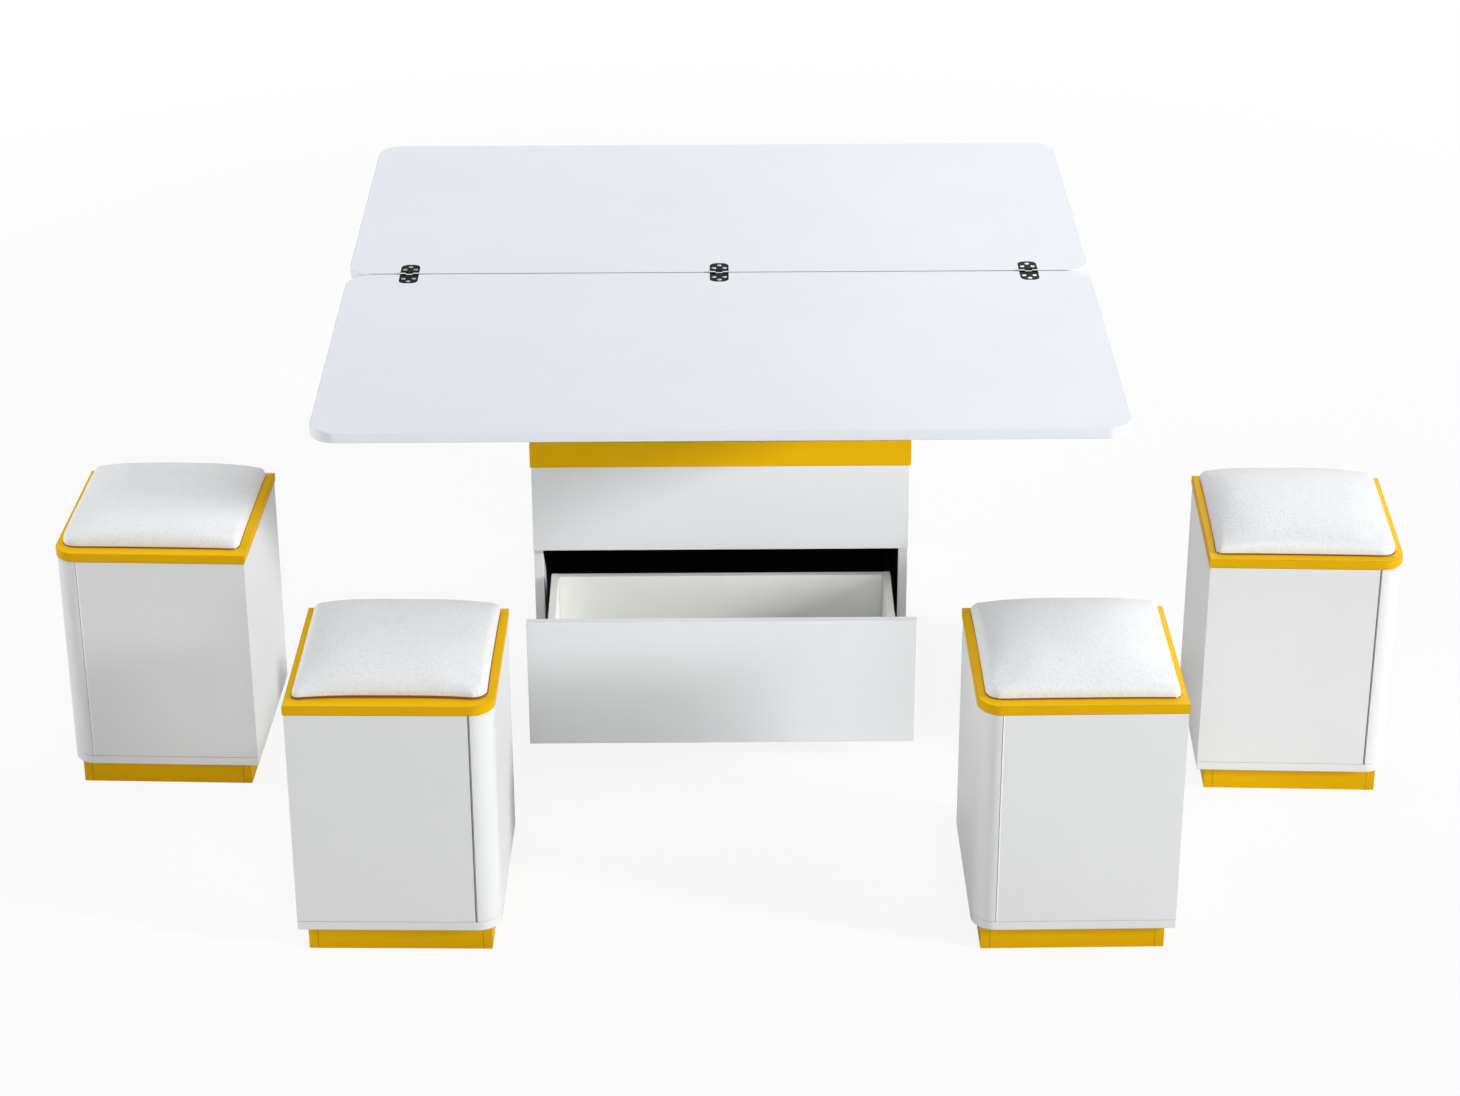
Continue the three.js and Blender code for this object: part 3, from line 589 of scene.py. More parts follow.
# The cabinet's white boards are painted lighter than the stools' white, standing for light.
WHITE_BOARD = Laminate(
    "white_board_laminate", (0.915, 0.94, 0.955), (0.89, 0.915, 0.93), 0.42
)
# Carcass boards, painted near black where shade falls in the drawer's hollow.
WHITE_SHELL = Laminate(
    "white_board_painted_shade_inside", (0.88, 0.9, 0.915), (0.855, 0.875, 0.89), 0.42, painted_shade_bay=PaintedShadeBay()
)
YELLOW = Laminate("yellow_lacquer", (0.88, 0.50, 0.0), (0.84, 0.47, 0.0), 0.5, gloss=0.08)
# Yellow seat laminate: its top painted lighter than the rim's yellow and its sides darker, as painted
# light and shade.
YELLOW_SEAT = Laminate(
    "yellow_seat_laminate",
    (0.96, 0.565, 0.0),
    (0.92, 0.535, 0.0),
    0.5,
    gloss=0.08,
    painted_side_shade=(0.75, 0.42, 0.0),
    painted_side_shade_top=405.9 * MM,
)
# The yellow lacquer painted darker than the rim's, standing for shade under the boards above the
# plinths.
SHADED_PLINTH_YELLOW = Laminate(
    "yellow_plinth_lacquer_painted_shade", (0.76, 0.425, 0.0), (0.72, 0.40, 0.0), 0.5, gloss=0.08
)
DRAWER_WHITE = Laminate(
    "drawer_board_matt", (0.90, 0.905, 0.875), (0.87, 0.875, 0.845), 0.55, peel_per_metre=260.0
)
LEATHER = PebbledLeather(
    "white_grained_leather", (0.87, 0.885, 0.90), (0.76, 0.775, 0.79), 0.46
)
# Brown edge tape, also standing in for the shade under the cushions' feet.
WELT = CoatedSteel("brown_welt", (0.2, 0.05, 0.02), (0.26, 0.09, 0.05), 0.6, 0.0)
BLACK_STEEL = CoatedSteel(
    "black_coated_steel", (0.02, 0.021, 0.023), (0.06, 0.062, 0.066), 0.45, 0.3
)
ZINC = RolledSteel(
    "zinc_plated_steel", (0.62, 0.63, 0.65), (0.42, 0.43, 0.45), 0.3, (700, 12, 700)
)
SPRING = RolledSteel(
    "spring_steel_wire", (0.30, 0.31, 0.33), (0.16, 0.165, 0.18), 0.32, (60, 900, 900)
)
SCREW = RolledSteel(
    "bright_screw_steel", (0.46, 0.47, 0.49), (0.24, 0.25, 0.27), 0.3, (500, 500, 500)
)


# Mesh helpers

FLAT_DEGREES = 0.4
HEAD_SHARP_DEGREES = 35.0
TUBE_SHARP_DEGREES = 40.0


class Maker:
    """Turns finished meshes into pieces that ride a body."""

    @staticmethod
    def linked(name: str, data: bpy.types.ID) -> bpy.types.Object:
        """Puts an object into the scene.

        Args:
            name: Its name.
            data: Its mesh, curve, lamp or camera.

        Returns:
            The object.
        """
        made = bpy.data.objects.new(name, data)
        bpy.context.scene.collection.objects.link(made)
        return made

    @staticmethod
    def piece(
        name: str, mesh: bpy.types.Mesh, body: str, slot: str, finish: Finish
    ) -> bpy.types.Object:
        """Adds one piece to the scene.

        Args:
            name: The piece's name.
            mesh: Its mesh, with its place in its points.
            body: The body that it moves with.
            slot: The record's slot that its finish stands for; not used.
            finish: Its finish.

        Returns:
            The new object.
        """
        mesh.materials.clear()
        mesh.materials.append(finish.material())
        made = Maker.linked(name, mesh)
        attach(made, body)
        log.info("piece %s on %s, %d faces", name, body, len(mesh.polygons))
        return made

    @staticmethod
    def mesh(
        name: str, bm: bmesh.types.BMesh, sharp_degrees: float | None = None
    ) -> bpy.types.Mesh:
        """Closes a bmesh into a mesh with outward normals.

        Args:
            name: The mesh's name.
            bm: The shape; it is freed.
            sharp_degrees: Edges over this angle stay sharp on an else smooth surface.

        Returns:
            The mesh.
        """
        bmesh.ops.recalc_face_normals(bm, faces=bm.faces)
        for face in bm.faces:
            face.smooth = sharp_degrees is not None
        if sharp_degrees is not None:
            limit = math.radians(sharp_degrees)
            for edge in bm.edges:
                edge.smooth = edge.calc_face_angle(0.0) < limit
        made = bpy.data.meshes.new(name)
        bm.to_mesh(made)
        bm.free()
        return made

    @staticmethod
    def shaped(source: bpy.types.Object) -> bpy.types.Mesh:
        """The mesh that an object's modifiers give.

        Args:
            source: An object in the scene; it is removed.

        Returns:
            Its evaluated mesh.
        """
        graph = bpy.context.evaluated_depsgraph_get()
        graph.update()
        made = bpy.data.meshes.new_from_object(source.evaluated_get(graph))
        bpy.data.objects.remove(source)
        return made

    @staticmethod
    def bevel(
        bm: bmesh.types.BMesh, edges: list[bmesh.types.BMEdge], radius: float, segments: int
    ) -> None:
        """Rounds edges of a shape.

        Args:
            bm: The shape.
            edges: Its edges.
            radius: Their new radius.
            segments: Faces across each.
        """
        bmesh.ops.bevel(
            bm,
            geom=edges,
            offset=radius,
            segments=segments,
            profile=0.5,
            affect="EDGES",
            material=-1,
        )

    @staticmethod
    def eased(
        node: str, slot: str, finish: Finish, sharp_degrees: float = 50.0
    ) -> bpy.types.Object:
        """A node's shape with its facets smoothed over, flat faces kept flat.

        Args:
            node: The node that it stands for.
            slot: The record's slot that its finish stands for.
            finish: Its finish.
            sharp_degrees: Edges over this angle stay sharp.

        Returns:
            The piece that replaces the node.
        """
        bm = bmesh.new()
        bm.from_mesh(frame["nodes"][node].data)
        bmesh.ops.remove_doubles(bm, verts=bm.verts, dist=1e-6)
        bmesh.ops.dissolve_limit(
            bm,
            angle_limit=math.radians(FLAT_DEGREES),
            verts=bm.verts,
            edges=bm.edges,
            use_dissolve_boundaries=False,
        )
        working = Maker.linked("working", Maker.mesh(node, bm, sharp_degrees))
        weigh = working.modifiers.new("flat faces lead", "WEIGHTED_NORMAL")
        weigh.keep_sharp = True
        weigh.weight = 95
        mesh = Maker.shaped(working)
        made = Maker.piece(f"{node}_eased", mesh, frame["nodes"][node]["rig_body"], slot, finish)
        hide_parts(node)
        return made

    @staticmethod
    def screws(name: str, head: bpy.types.Mesh, places: list[Matrix], body: str) -> None:
        """Adds a group of screws as one piece.

        Args:
            name: The piece's name.
            head: A screw head with its seat at the origin.
            places: Where each screw goes.
            body: The body that they move with.
        """
        bm = bmesh.new()
        for place in places:
            known = len(bm.verts)
            bm.from_mesh(head)
            bm.verts.ensure_lookup_table()
            bmesh.ops.transform(bm, matrix=place, verts=bm.verts[known:])
        Maker.piece(name, Maker.mesh(name, bm, HEAD_SHARP_DEGREES), body, "zinc_steel", SCREW)

    @staticmethod
    def tube(name: str, points: list[Vector], radius: float, closed: bool) -> bpy.types.Mesh:
        """A round tube along points.

        Args:
            name: The mesh's name.
            points: The middle of the tube.
            radius: Its radius.
            closed: Whether its ends meet.

        Returns:
            The tube's mesh.
        """
        curve = bpy.data.curves.new(name, "CURVE")
        curve.dimensions = "3D"
        curve.bevel_depth = radius
        curve.bevel_resolution = 3
        curve.use_fill_caps = not closed
        line = curve.splines.new("POLY")
        line.points.add(len(points) - 1)
        for point, place in zip(line.points, points):
            point.co = (*place, 1.0)
        line.use_cyclic_u = closed
        bm = bmesh.new()
        bm.from_mesh(Maker.shaped(Maker.linked(name, curve)))
        bmesh.ops.remove_doubles(bm, verts=bm.verts, dist=1e-7)
        return Maker.mesh(name, bm, TUBE_SHARP_DEGREES)


# Stools


class Side(Enum):
    """Which front corner of a stool is rounded."""

    LEFT = -1
    RIGHT = 1

    @property
    def post_shading_line(self) -> Colour:
        """Painted line in the joint beside the post: painted shade where the post faces the key lamp,
        else a painted highlight.
        """
        return (0.1, 0.1, 0.105) if self is Side.RIGHT else (0.97, 0.975, 0.975)


@dataclass
class Stool:
    """One storage stool with a padded leather cushion."""

    number: int
    front_x: float
    front_y: float
    turn_degrees: float
    rounded: Side
    width: float = 293 * MM
    depth: float = 288 * MM
    seat_top: float = 406.3 * MM
    post: float = 36 * MM
    plinth_joint: float = 28 * MM
    front_inset: float = 17 * MM
    side_shift: float = 0.0
    side_inset: float = 10.3 * MM
    back_inset: float = 6 * MM
    foot: float = 4 * MM
    wide_corner: float = 24 * MM
    tight_corner: float = 10 * MM
    rim_radius: float = 6 * MM
    corner_height: float = 12 * MM
    side_rise: float = 8 * MM
    crown_rise: float = 9 * MM
    crown_power: float = 3.2
    side_pull: float = 1.5 * MM
    front_pull: float = 2 * MM
    drift_height: float = 0.9 * MM
    drift_per_metre: float = 14.0
    drift_step: float = 7.3
    pucker_height: float = 0.35 * MM
    pucker_per_metre: tuple[float, float] = (60.0, 20.0)
    pucker_step: float = 3.1
    pucker_low: float = 4 * MM
    pucker_reach: float = 20 * MM
    tape: float = 1 * MM
    tape_lift: float = 0.6 * MM
    tape_sink: float = 0.5 * MM
    tape_tuck: float = 0.6 * MM
    tape_cast: float = 400 * MM
    tape_steps: int = 180
    voxel: float = 4.5 * MM
    held_height: float = 1.2 * MM
    cloth_frames: int = 20
    swell_cap: float = 6 * MM
    crease_passes: int = 10

    @property
    def body(self) -> str:
        """Name of the body that the stool is."""
        return f"stool_{self.number}"

    @property
    def turn(self) -> float:
        """Turn about the upright, in radians."""
        return math.radians(self.turn_degrees)

    @property
    def placed(self) -> Matrix:
        """Where the stool stands.

        Returns:
            The matrix from its own frame, its footprint's middle on the floor, to the part's.
        """
        middle = Vector((0, self.depth / 2, 0))
        spin = Matrix.Rotation(self.turn, 4, "Z")
        return Matrix.Translation(Vector((self.front_x, self.front_y, 0)) + spin @ middle) @ spin

    def build(self) -> None:
        """Builds the cushion and gives the boards their finishes."""
        self.dress()
        self.welt(self.cushion())

    def dress(self) -> None:
        """Gives the stool's boards their finishes."""
        centre = tuple(self.placed.translation)
        plinth = PlinthLacquer(
            f"yellow_plinth_{self.number}",
            # The plinth's colour is the yellow lacquer painted darker, as shade.
            SHADED_PLINTH_YELLOW.colour,
            SHADED_PLINTH_YELLOW.cast,
            SHADED_PLINTH_YELLOW.roughness,
            (0.30, 0.17, 0.001),
            centre,
            self.turn,
            self.width / 2 - self.plinth_joint,
        )
        white = StoolLaminate(
            f"white_stool_laminate_{self.number}",
            # The stools' white is painted darker than the cabinet's, standing for shade.
            (0.785, 0.795, 0.795),
            (0.76, 0.77, 0.77),
            0.42,
            centre=centre,
            turn=self.turn,
            post_joint=self.rounded.value * (self.width / 2 - self.post),
            post_shading_line=self.rounded.post_shading_line,
        )
        for part, finish in (("plinth", plinth), ("body", white), ("cushion", LEATHER)):
            paint(f"{self.body}_{part}", finish)
        for part, slot, finish in (
            ("base", "white_board", white),
            ("corner_post", "white_board", white),
            ("seat_board", "yellow_board", YELLOW_SEAT),
        ):
            Maker.eased(f"{self.body}_{part}", slot, finish)

    def pad(self) -> bpy.types.Mesh:
        """The cushion before it swells: a crowned pad with one wide corner and three tight ones.

        Returns:
            A mesh of even small faces in the stool's own frame.
        """
        half_x = self.width / 2 - self.side_inset
        half_y = (self.depth - self.front_inset - self.back_inset) / 2
        middle_y = (self.front_inset - self.back_inset) / 2
        wall = self.corner_height
        bm = bmesh.new()
        bmesh.ops.create_cube(bm, size=1.0)
        bmesh.ops.scale(bm, vec=(2 * half_x, 2 * half_y, wall + self.foot), verts=bm.verts)
        uprights = [e for e in bm.edges if abs(e.verts[0].co.z - e.verts[1].co.z) > wall / 2]
        wide = [e for e in uprights if e.verts[0].co.y < 0 < e.verts[0].co.x * self.rounded.value]
        tight = [e for e in uprights if e not in wide]
        for edges, radius in ((wide, self.wide_corner), (tight, self.tight_corner)):
            Maker.bevel(bm, edges, radius, 8)
        rim = [e for e in bm.edges if min(v.co.z for v in e.verts) > wall / 2]
        Maker.bevel(bm, rim, self.rim_radius, 4)
        middle_z = self.seat_top + (wall - self.foot) / 2
        bmesh.ops.translate(bm, vec=(self.side_shift, middle_y, middle_z), verts=bm.verts)
        working = Maker.linked("working", Maker.mesh("pad", bm))
        remesh = working.modifiers.new("even", "REMESH")
        remesh.mode = "VOXEL"
        remesh.voxel_size = self.voxel
        even = Maker.shaped(working)
        for vertex in even.vertices:
            x, y, z = vertex.co
            x -= self.side_shift
            across = 1 - min(1.0, abs(x) / half_x) ** self.crown_power
            along = 1 - min(1.0, abs(y - middle_y) / half_y) ** self.crown_power
            rise = self.side_rise * (across + along) + self.crown_rise * across * along
            pull_y = self.front_pull if y < middle_y else self.side_pull
            vertex.co.x -= self.side_pull * x / half_x * along
            vertex.co.y -= pull_y * (y - middle_y) / half_y * across
            vertex.co.z += rise * max(0.0, z - self.seat_top) / wall
        return even

    def swollen(self, even: bpy.types.Mesh) -> bpy.types.Mesh:
        """The pad after its cover is blown tight by a cloth simulation.

        Args:
            even: The pad's mesh.

        Returns:
            The mesh with the simulated shape applied.
        """
        rest = [v.co.copy() for v in even.vertices]
        working = Maker.linked("working", even)
        foot = working.vertex_groups.new(name="foot")
        held = [i for i, co in enumerate(rest) if co.z < self.seat_top + self.held_height]
        foot.add(held, 1.0, "REPLACE")
        cloth = working.modifiers.new("cover", "CLOTH")
        for setting, value in {
            "use_pressure": True,
            "uniform_pressure_force": 4.0,
            "vertex_group_mass": "foot",
            "quality": 5,
            "tension_stiffness": 12,
            "compression_stiffness": 12,
            "shear_stiffness": 6,
            "bending_stiffness": 1.2,
        }.items():
            setattr(cloth.settings, setting, value)
        cloth.settings.effector_weights.gravity = 0.0
        cloth.point_cache.frame_start = 1
        cloth.point_cache.frame_end = self.cloth_frames
        for step in range(1, self.cloth_frames + 1):
            bpy.context.scene.frame_set(step)
        blown = Maker.shaped(working)
        bpy.context.scene.frame_set(1)
        moves = [vertex.co - start for vertex, start in zip(blown.vertices, rest)]
        farthest = max(move.length for move in moves)
        moves = [move * min(1.0, self.swell_cap / max(move.length, 1e-9)) for move in moves]
        bm = bmesh.new()
        bm.from_mesh(blown)
        bm.verts.ensure_lookup_table()
        around = [
            [edge.other_vert(vertex).index for edge in vertex.link_edges] for vertex in bm.verts
        ]
        bm.free()
        for _ in range(self.crease_passes):
            moves = [
                sum((moves[i] for i in near), moves[own]) / (len(near) + 1)
                if rest[own].z > self.seat_top
                else Vector((0, 0, 0))
                for own, near in enumerate(around)
            ]
        for vertex, start, move in zip(blown.vertices, rest, moves):
            vertex.co = start + move
        log.info("cushion %d swelled by up to %.1f mm", self.number, farthest / MM)
        return blown

    def cushion(self) -> bpy.types.Object:
        """The leather cushion, swollen, creased and rounded.

        Returns:
            The cushion's object.
        """
        shape = self.pad()
        shape = self.swollen(shape)
        working = Maker.linked("working", shape)
        smooth = working.modifiers.new("round", "SUBSURF")
        smooth.levels = smooth.render_levels = 1
        cover = Maker.shaped(working)
        start = Vector((self.number * self.drift_step, 0, 0))
        level, upright = self.pucker_per_metre
        for vertex in cover.vertices:
            x, y, z = vertex.co
            above = z - self.seat_top
            lift = min(1.0, max(0.0, above / self.rim_radius))
            drift = noise.noise(Vector((x, y, z)) * self.drift_per_metre + start)
            depth = z * upright + self.number * self.pucker_step
            pucker = noise.noise(Vector((x * level, y * level, depth)))
            edge = 1 - min(1.0, max(0.0, (above - self.pucker_low) / self.pucker_reach))
            wave = drift * self.drift_height + pucker * self.pucker_height * edge
            vertex.co.z = max(self.seat_top, z + wave * lift)
        cover.transform(self.placed)
        for polygon in cover.polygons:
            polygon.use_smooth = True
        name = f"{self.body}_leather_cushion"
        made = Maker.piece(name, cover, self.body, "white_leather", LEATHER)
        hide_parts(f"{self.body}_cushion")
        return made

    def welt(self, cushion: bpy.types.Object) -> None:
        """The dark edge tape that shows under the cushion all the way round, partly real tape and
        partly a dark stand-in for the shade under the cushion's foot.

        Args:
            cushion: The cushion that it runs round.
        """
        tree = BVHTree.FromPolygons(
            [v.co for v in cushion.data.vertices], [p.vertices for p in cushion.data.polygons]
        )
        height = self.seat_top + self.tape + self.tape_lift
        centre = self.placed @ Vector((0, (self.front_inset - self.back_inset) / 2, height))
        points = []
        for step in range(self.tape_steps):
            angle = 2 * math.pi * step / self.tape_steps
            away = Vector((math.cos(angle), math.sin(angle), 0))
            hit, _, _, _ = tree.ray_cast(centre + away * self.tape_cast, -away)
            if hit is not None:
                front_share = max(0.0, -away.y) ** 2
                down = Vector((0, 0, self.tape_sink))
                points.append(hit + away * (front_share * MM - self.tape_tuck) - down)
        mesh = Maker.tube(f"{self.body}_welt", points, self.tape, True)
        Maker.piece(f"{self.body}_welt", mesh, self.body, "white_leather", WELT)


# Table


def paint(node: str, finish: Finish) -> None:
    """Gives a node of the frame its finish.

    Args:
        node: The node's name.
        finish: Its finish.
    """
    owner = frame["nodes"][node]
    owner.data.materials.clear()
    owner.data.materials.append(finish.material())


@dataclass(frozen=True)
class CrossScrew:
    """A screw head with a cross recess, its seat at the origin and its face towards +Z."""

    head_radius: float
    head_height: float
    neck_radius: float
    recess_radius: float
    recess_width: float = 0.9 * MM
    rim_share: float = 0.12

    def mesh(self) -> bpy.types.Mesh:
        """Turns the head and cuts the recess.

        Returns:
            The head's mesh.
        """
        bm = bmesh.new()
        bmesh.ops.create_cone(
            bm,
            cap_ends=True,
            segments=24,
            radius1=self.neck_radius,
            radius2=self.head_radius,
            depth=self.head_height,
        )
        bmesh.ops.translate(bm, vec=(0, 0, self.head_height / 2), verts=bm.verts)
        rim = [e for e in bm.edges if min(v.co.z for v in e.verts) > self.head_height / 2]
        Maker.bevel(bm, rim, self.head_radius * self.rim_share, 2)
        head = Maker.linked("working", Maker.mesh("head", bm))
        bm = bmesh.new()
        for turn in (0.0, math.pi / 2):
            bar = bmesh.ops.create_cube(bm, size=1.0)["verts"]
            size = (2 * self.recess_radius, self.recess_width, self.head_height * 1.2)
            bmesh.ops.scale(bm, vec=size, verts=bar)
            bmesh.ops.rotate(bm, matrix=Matrix.Rotation(turn, 3, "Z"), verts=bar)
            bmesh.ops.translate(bm, vec=(0, 0, self.head_height * 1.05), verts=bar)
        cutter = Maker.linked("working", Maker.mesh("recess", bm))
        cut = head.modifiers.new("recess", "BOOLEAN")
        cut.operation = "DIFFERENCE"
        cut.solver = "EXACT"
        cut.use_self = True
        cut.object = cutter
        made = Maker.shaped(head)
        bpy.data.objects.remove(cutter)
        return made


@dataclass
class Top:
    """Two leaves joined by three flap hinges."""

    hinge_x: tuple[float, ...] = (-0.5, 0.0, 0.5)
    side_screw: float = 8.5 * MM
    near_screw: float = 19 * MM
    far_screw: float = 30 * MM
    plate_sink: float = 0.1 * MM
    screw: CrossScrew = CrossScrew(3.75 * MM, 1.75 * MM, 2.05 * MM, 2.3 * MM)

    def build(self) -> None:
        """Builds both leaves, the hinges and their screws."""
        for leaf in ("rear_leaf", "front_leaf"):
            Maker.eased(leaf, "white_laminate", WHITE_TOP)
        seam = (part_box("rear_leaf")[0].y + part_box("front_leaf")[1].y) / 2
        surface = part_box("rear_leaf")[1].z
        seat = surface - self.plate_sink - self.screw.head_height
        plating = HingePlating(
            "black_hinge_plating",
            (0.008, 0.008, 0.01),
            (0.028, 0.028, 0.032),
            0.42,
            0.0,
            roughness_swing=0.2,
            gloss=0.02,
            seam=seam,
            surface=surface,
            spacing=self.hinge_x[1] - self.hinge_x[0],
        )
        head = self.screw.mesh()
        for number, x in enumerate(self.hinge_x, 1):
            for half, way, body in (("rear", 1, "top"), ("front", -1, "front_leaf")):
                Maker.eased(f"hinge_{number}_{half}_plate", "black_hinge", plating)
                places = [
                    Matrix.Translation((x + across, seam + way * along, seat))
                    @ Matrix.Rotation(0.5 + across * 90 + along * 40, 4, "Z")
                    for across, along in (
                        (-self.side_screw, self.near_screw),
                        (self.side_screw, self.near_screw),
                        (0.0, self.far_screw),
                    )
                ]
                Maker.screws(f"hinge_{number}_{half}_screws", head, places, body)


@dataclass
class Lift:
    """Brackets, arms, rails and springs of the lifting fitting."""

    shaft_y: float = -42 * MM
    shaft_z: float = 401.3 * MM
    wire: float = 6 * MM
    coil_radius: float = 18 * MM
    turns: int = 9
    pitch: float = 6.9 * MM
    start_x: float = 268.7 * MM
    leg_reach: float = 27 * MM
    leg_foot: float = -28.7 * MM
    collar_face: float = 194.6 * MM
    steps_per_turn: int = 40
    steps_per_bend: int = 8
    bracket_rows: tuple[float, ...] = (100 * MM, 152 * MM)
    bracket_lines: tuple[float, ...] = (388.3 * MM, 430.3 * MM)
    rail_screw_inset: float = 12 * MM
    rail_screw_x: float = 258.7 * MM
    seat_depth: float = 3 * MM
    screw: CrossScrew = CrossScrew(4.6 * MM, 2.2 * MM, 4.9 * MM, 2.7 * MM)

    def build(self) -> None:
        """Builds both sides of the fitting."""
        Maker.eased("lift_front_arms", "black_steel", BLACK_STEEL, 40.0)
        head = self.screw.mesh()
        for side, sign in (("right", 1), ("left", -1)):
            for part in ("bracket", "rear_arm", "rail"):
                Maker.eased(f"lift_{part}_{side}", "black_steel", BLACK_STEEL, 40.0)
            self.spring(side, sign)
            self.screws(side, sign, head)

    def bend(self, start: Vector, ahead: Vector, aside: Vector, radius: float) -> list[Vector]:
        """Points of a quarter bend.

        Args:
            start: Where it begins.
            ahead: Direction in which it begins.
            aside: Direction in which it ends.
            radius: Its radius.

        Returns:
            The points, with both ends.
        """
        points = []
        for step in range(self.steps_per_bend + 1):
            turn = step / self.steps_per_bend * math.pi / 2
            offset = ahead * math.sin(turn) + aside * (1 - math.cos(turn))
            points.append(start + offset * radius)
        return points

    def spring_path(self) -> list[Vector]:
        """The wire's middle on the right-hand side, about the shaft.

        Returns:
            Points from the foot on the bracket's lip to the collar.
        """
        right, back, up = Vector((1, 0, 0)), Vector((0, 1, 0)), Vector((0, 0, 1))
        foot = Vector((self.start_x, -self.leg_reach, self.leg_foot))
        radius = -self.coil_radius - self.leg_foot - self.wire
        points = [foot, *self.bend(foot + up * self.wire, up, back, radius)]
        for step in range(self.turns * self.steps_per_turn + 1):
            angle = 2 * math.pi * step / self.steps_per_turn
            x = self.start_x - self.pitch * step / self.steps_per_turn
            around = back * math.sin(angle) - up * math.cos(angle)
            points.append(around * self.coil_radius + right * x)
        points += self.bend(points[-1], back, -right, radius)[1:]
        points.append(Vector((self.collar_face, *points[-1].yz)))
        return points

    def spring(self, side: str, sign: int) -> None:
        """One torsion spring.

        Args:
            side: Name of its side.
            sign: 1 on the right, -1 on the left.
        """
        shaft = Vector((0, self.shaft_y, self.shaft_z))
        points = [Vector((p.x * sign, p.y, p.z)) + shaft for p in self.spring_path()]
        mesh = Maker.tube(f"lift_spring_{side}_coil", points, self.wire / 2, False)
        body = frame["nodes"][f"lift_spring_{side}"]["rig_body"]
        made = Maker.piece(f"lift_spring_{side}_coil", mesh, body, "spring_steel", SPRING)
        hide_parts(f"lift_spring_{side}")

    def screws(self, side: str, sign: int, head: bpy.types.Mesh) -> None:
        """Screws that hold one bracket and one rail.

        Args:
            side: Name of their side.
            sign: 1 on the right, -1 on the left.
            head: The screw head's mesh.
        """
        low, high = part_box(f"lift_bracket_{side}")
        face = high.x - self.seat_depth if sign > 0 else low.x + self.seat_depth
        inward = Matrix.Rotation(-sign * math.pi / 2, 4, "Y")
        places = [
            Matrix.Translation((face, y, z)) @ inward @ Matrix.Rotation(y * 31 + z * 17, 4, "Z")
            for y in self.bracket_rows
            for z in self.bracket_lines
        ]
        Maker.screws(f"lift_bracket_{side}_screws", head, places, "cabinet")
        low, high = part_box(f"lift_rail_{side}")
        down = Matrix.Rotation(math.pi, 4, "X")
        places = [
            Matrix.Translation((sign * self.rail_screw_x, y, high.z - self.seat_depth))
            @ down
            @ Matrix.Rotation(y * 23, 4, "Z")
            for y in (
                low.y + self.rail_screw_inset,
                (low.y + high.y) / 2,
                high.y - self.rail_screw_inset,
            )
        ]
        Maker.screws(f"lift_rail_{side}_screws", head, places, "top")


@dataclass
class Cabinet:
    """Carcass and drawer."""

    def build(self) -> None:
        """Gives every board and slide the finish of the first of these starts in its name."""
        starts = {
            "cabinet_rim": YELLOW,
            "cabinet_plinth": SHADED_PLINTH_YELLOW,
            "cabinet_": WHITE_SHELL,
            "drawer_front": WHITE_BOARD,
            "drawer_": DRAWER_WHITE,
            "slide_": ZINC,
        }
        for name in frame["nodes"]:
            finish = next((starts[start] for start in starts if name.startswith(start)), None)
            if finish:
                paint(name, finish)


# Studio


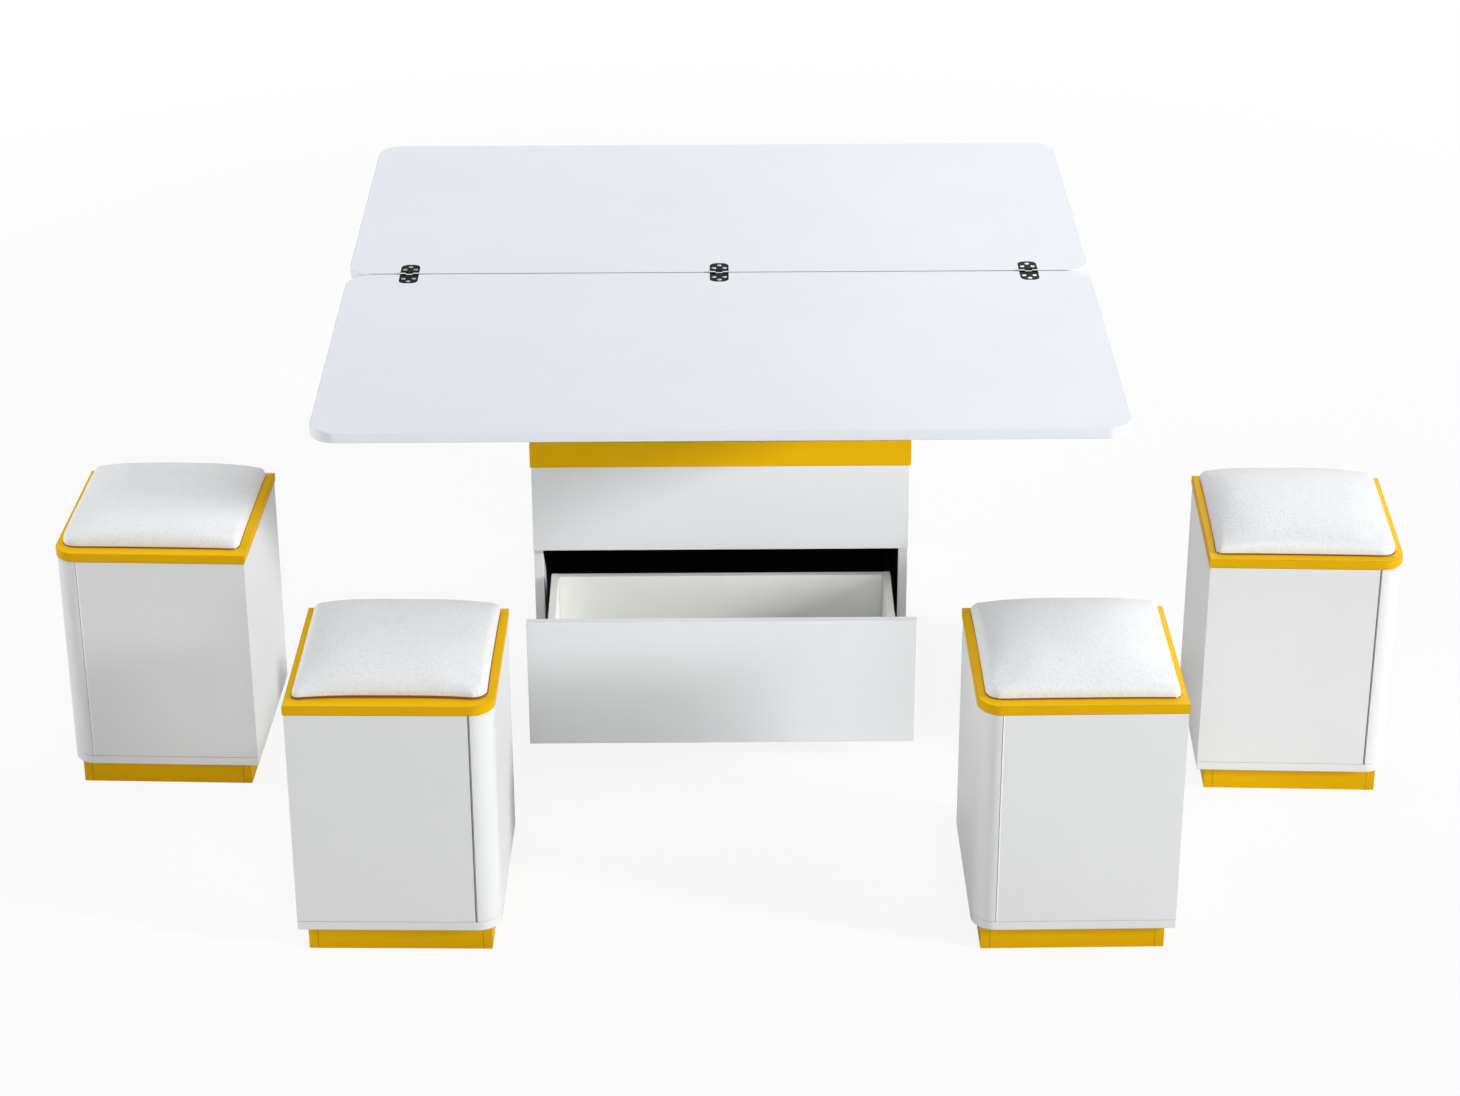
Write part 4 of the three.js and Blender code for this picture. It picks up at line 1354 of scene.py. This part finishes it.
@dataclass
class Studio:
    """Floor, soft lamps, white surround and the camera of the photograph."""

    picture_width: float = 1460.0
    focal_pixels: float = 3211.04
    shift_pixels: float = -150.0
    pitch_degrees: float = 24.641
    yaw_degrees: float = 0.439
    roll_degrees: float = -0.155
    camera_place: Colour = (-0.01983, -4.89501, 2.63831)
    aim: Colour = (0, -0.2, 0.4)
    floor_half: float = 40.0
    floor_colour: Colour = (0.86, 0.86, 0.86)
    floor_glow: float = 0.88
    shadow_reach: float = 2.2
    shadow_fade: float = 0.15
    sky_colour: Colour = (0.93, 0.96, 1.0)
    sky_strength: float = 0.02

    def build(self) -> None:
        """Builds the whole studio."""
        self.floor()
        self.surround()
        self.lamp("key", (7.9, -3.5, 3.3), 1.0, 630.0)
        self.lamp("front", (0.5, -5.5, 2.0), 2.5, 76.0)
        self.lamp("overhead", (0.0, 0.0, 4.2), 3.4, 40.0)
        self.lamp("left", (-4.5, 0.0, 2.0), 2.5, 118.0)
        self.lamp("rear", (1.6, 3.5, 3.5), 3.0, 95.0)
        self.camera()

    def floor(self) -> None:
        """A plain pale floor that shows white and keeps the shadow."""
        bm = bmesh.new()
        bmesh.ops.create_grid(bm, x_segments=1, y_segments=1, size=self.floor_half)
        floor = Maker.linked("floor", Maker.mesh("floor", bm))
        material = bpy.data.materials.new("pale_floor")
        shader = Shader(material)
        seen = shader.node("ShaderNodeLightPath", output="Is Camera Ray")
        reach = shader.node("ShaderNodeVectorMath", {0: shader.place()}, 1, operation="LENGTH")
        fade = (reach - self.shadow_reach) * self.shadow_fade
        share = seen * (fade + self.floor_glow).at_least(self.floor_glow).at_most(1.0)
        matt = shader.node("ShaderNodeBsdfDiffuse", {"Color": self.floor_colour, "Roughness": 0.5})
        glow = shader.node("ShaderNodeEmission", {"Color": (1, 1, 1), "Strength": 1.0})
        mix = shader.node("ShaderNodeMixShader", {0: share, 1: matt, 2: glow})
        shader.close("ShaderNodeOutputMaterial", mix)
        floor.data.materials.append(material)

    def surround(self) -> None:
        """White where it is seen or mirrored, and soft grey light elsewhere."""
        world = bpy.data.worlds.new("surround")
        bpy.context.scene.world = world
        shader = Shader(world)
        seen = shader.node("ShaderNodeLightPath", output="Is Camera Ray")
        for ray in ("Is Glossy Ray", "Is Transmission Ray"):
            seen = seen.at_least(shader.node("ShaderNodeLightPath", output=ray))
        light, white = (
            shader.node("ShaderNodeBackground", {"Color": colour, "Strength": strength})
            for colour, strength in ((self.sky_colour, self.sky_strength), ((1, 1, 1), 1.0))
        )
        mix = shader.node("ShaderNodeMixShader", {0: seen, 1: light, 2: white})
        shader.close("ShaderNodeOutputWorld", mix)

    def lamp(self, name: str, place: Colour, size: float, power: float) -> None:
        """Adds a soft square lamp that points at the table.

        Args:
            name: The lamp's name.
            place: Where it hangs.
            size: Length of its sides.
            power: Its power in watts.
        """
        data = bpy.data.lights.new(name, "AREA")
        data.shape = "SQUARE"
        data.size = size
        data.energy = power
        made = Maker.linked(name, data)
        made.location = place
        made.rotation_mode = "QUATERNION"
        made.rotation_quaternion = (Vector(self.aim) - Vector(place)).to_track_quat("-Z", "Y")

    def camera(self) -> None:
        """Sets the camera that the photograph was taken with."""
        place = Matrix.Translation(self.camera_place)
        for degrees, axis in (
            (-self.yaw_degrees, "Z"),
            (90 - self.pitch_degrees, "X"),
            (self.roll_degrees, "Z"),
        ):
            place @= Matrix.Rotation(math.radians(degrees), 4, axis)
        data = bpy.data.cameras.new("photograph")
        data.sensor_width = 36.0
        data.lens = data.sensor_width * self.focal_pixels / self.picture_width
        data.shift_y = self.shift_pixels / self.picture_width
        data.clip_start, data.clip_end = 0.1, 100.0
        made = Maker.linked("photograph", data)
        made.matrix_world = place
        bpy.context.scene.camera = made


def main() -> None:
    """Builds the looks in order and reports each piece."""
    logging.basicConfig(level=logging.INFO, format="%(name)s: %(message)s")
    bpy.context.scene.view_settings.view_transform = "Standard"
    Studio().build()
    Cabinet().build()
    Lift().build()
    Top().build()
    for stool in (
        # The first stool's thicker tape stands in for the shade under its lifted front edge.
        Stool(1, -464.4 * MM, -1043.8 * MM, -1.2, Side.RIGHT, front_pull=9 * MM, tape=1.6 * MM),
        Stool(2, 498.0 * MM, -1053.4 * MM, 0.4, Side.LEFT, side_shift=0.5 * MM),
        Stool(
            3, -866.4 * MM, -583.6 * MM, -2.4, Side.LEFT, front_inset=19 * MM, side_shift=-1.2 * MM
        ),
        Stool(4, 879.6 * MM, -626.2 * MM, -2.5, Side.RIGHT, front_inset=15 * MM),
    ):
        stool.build()


if __name__ == "__main__":
    main()
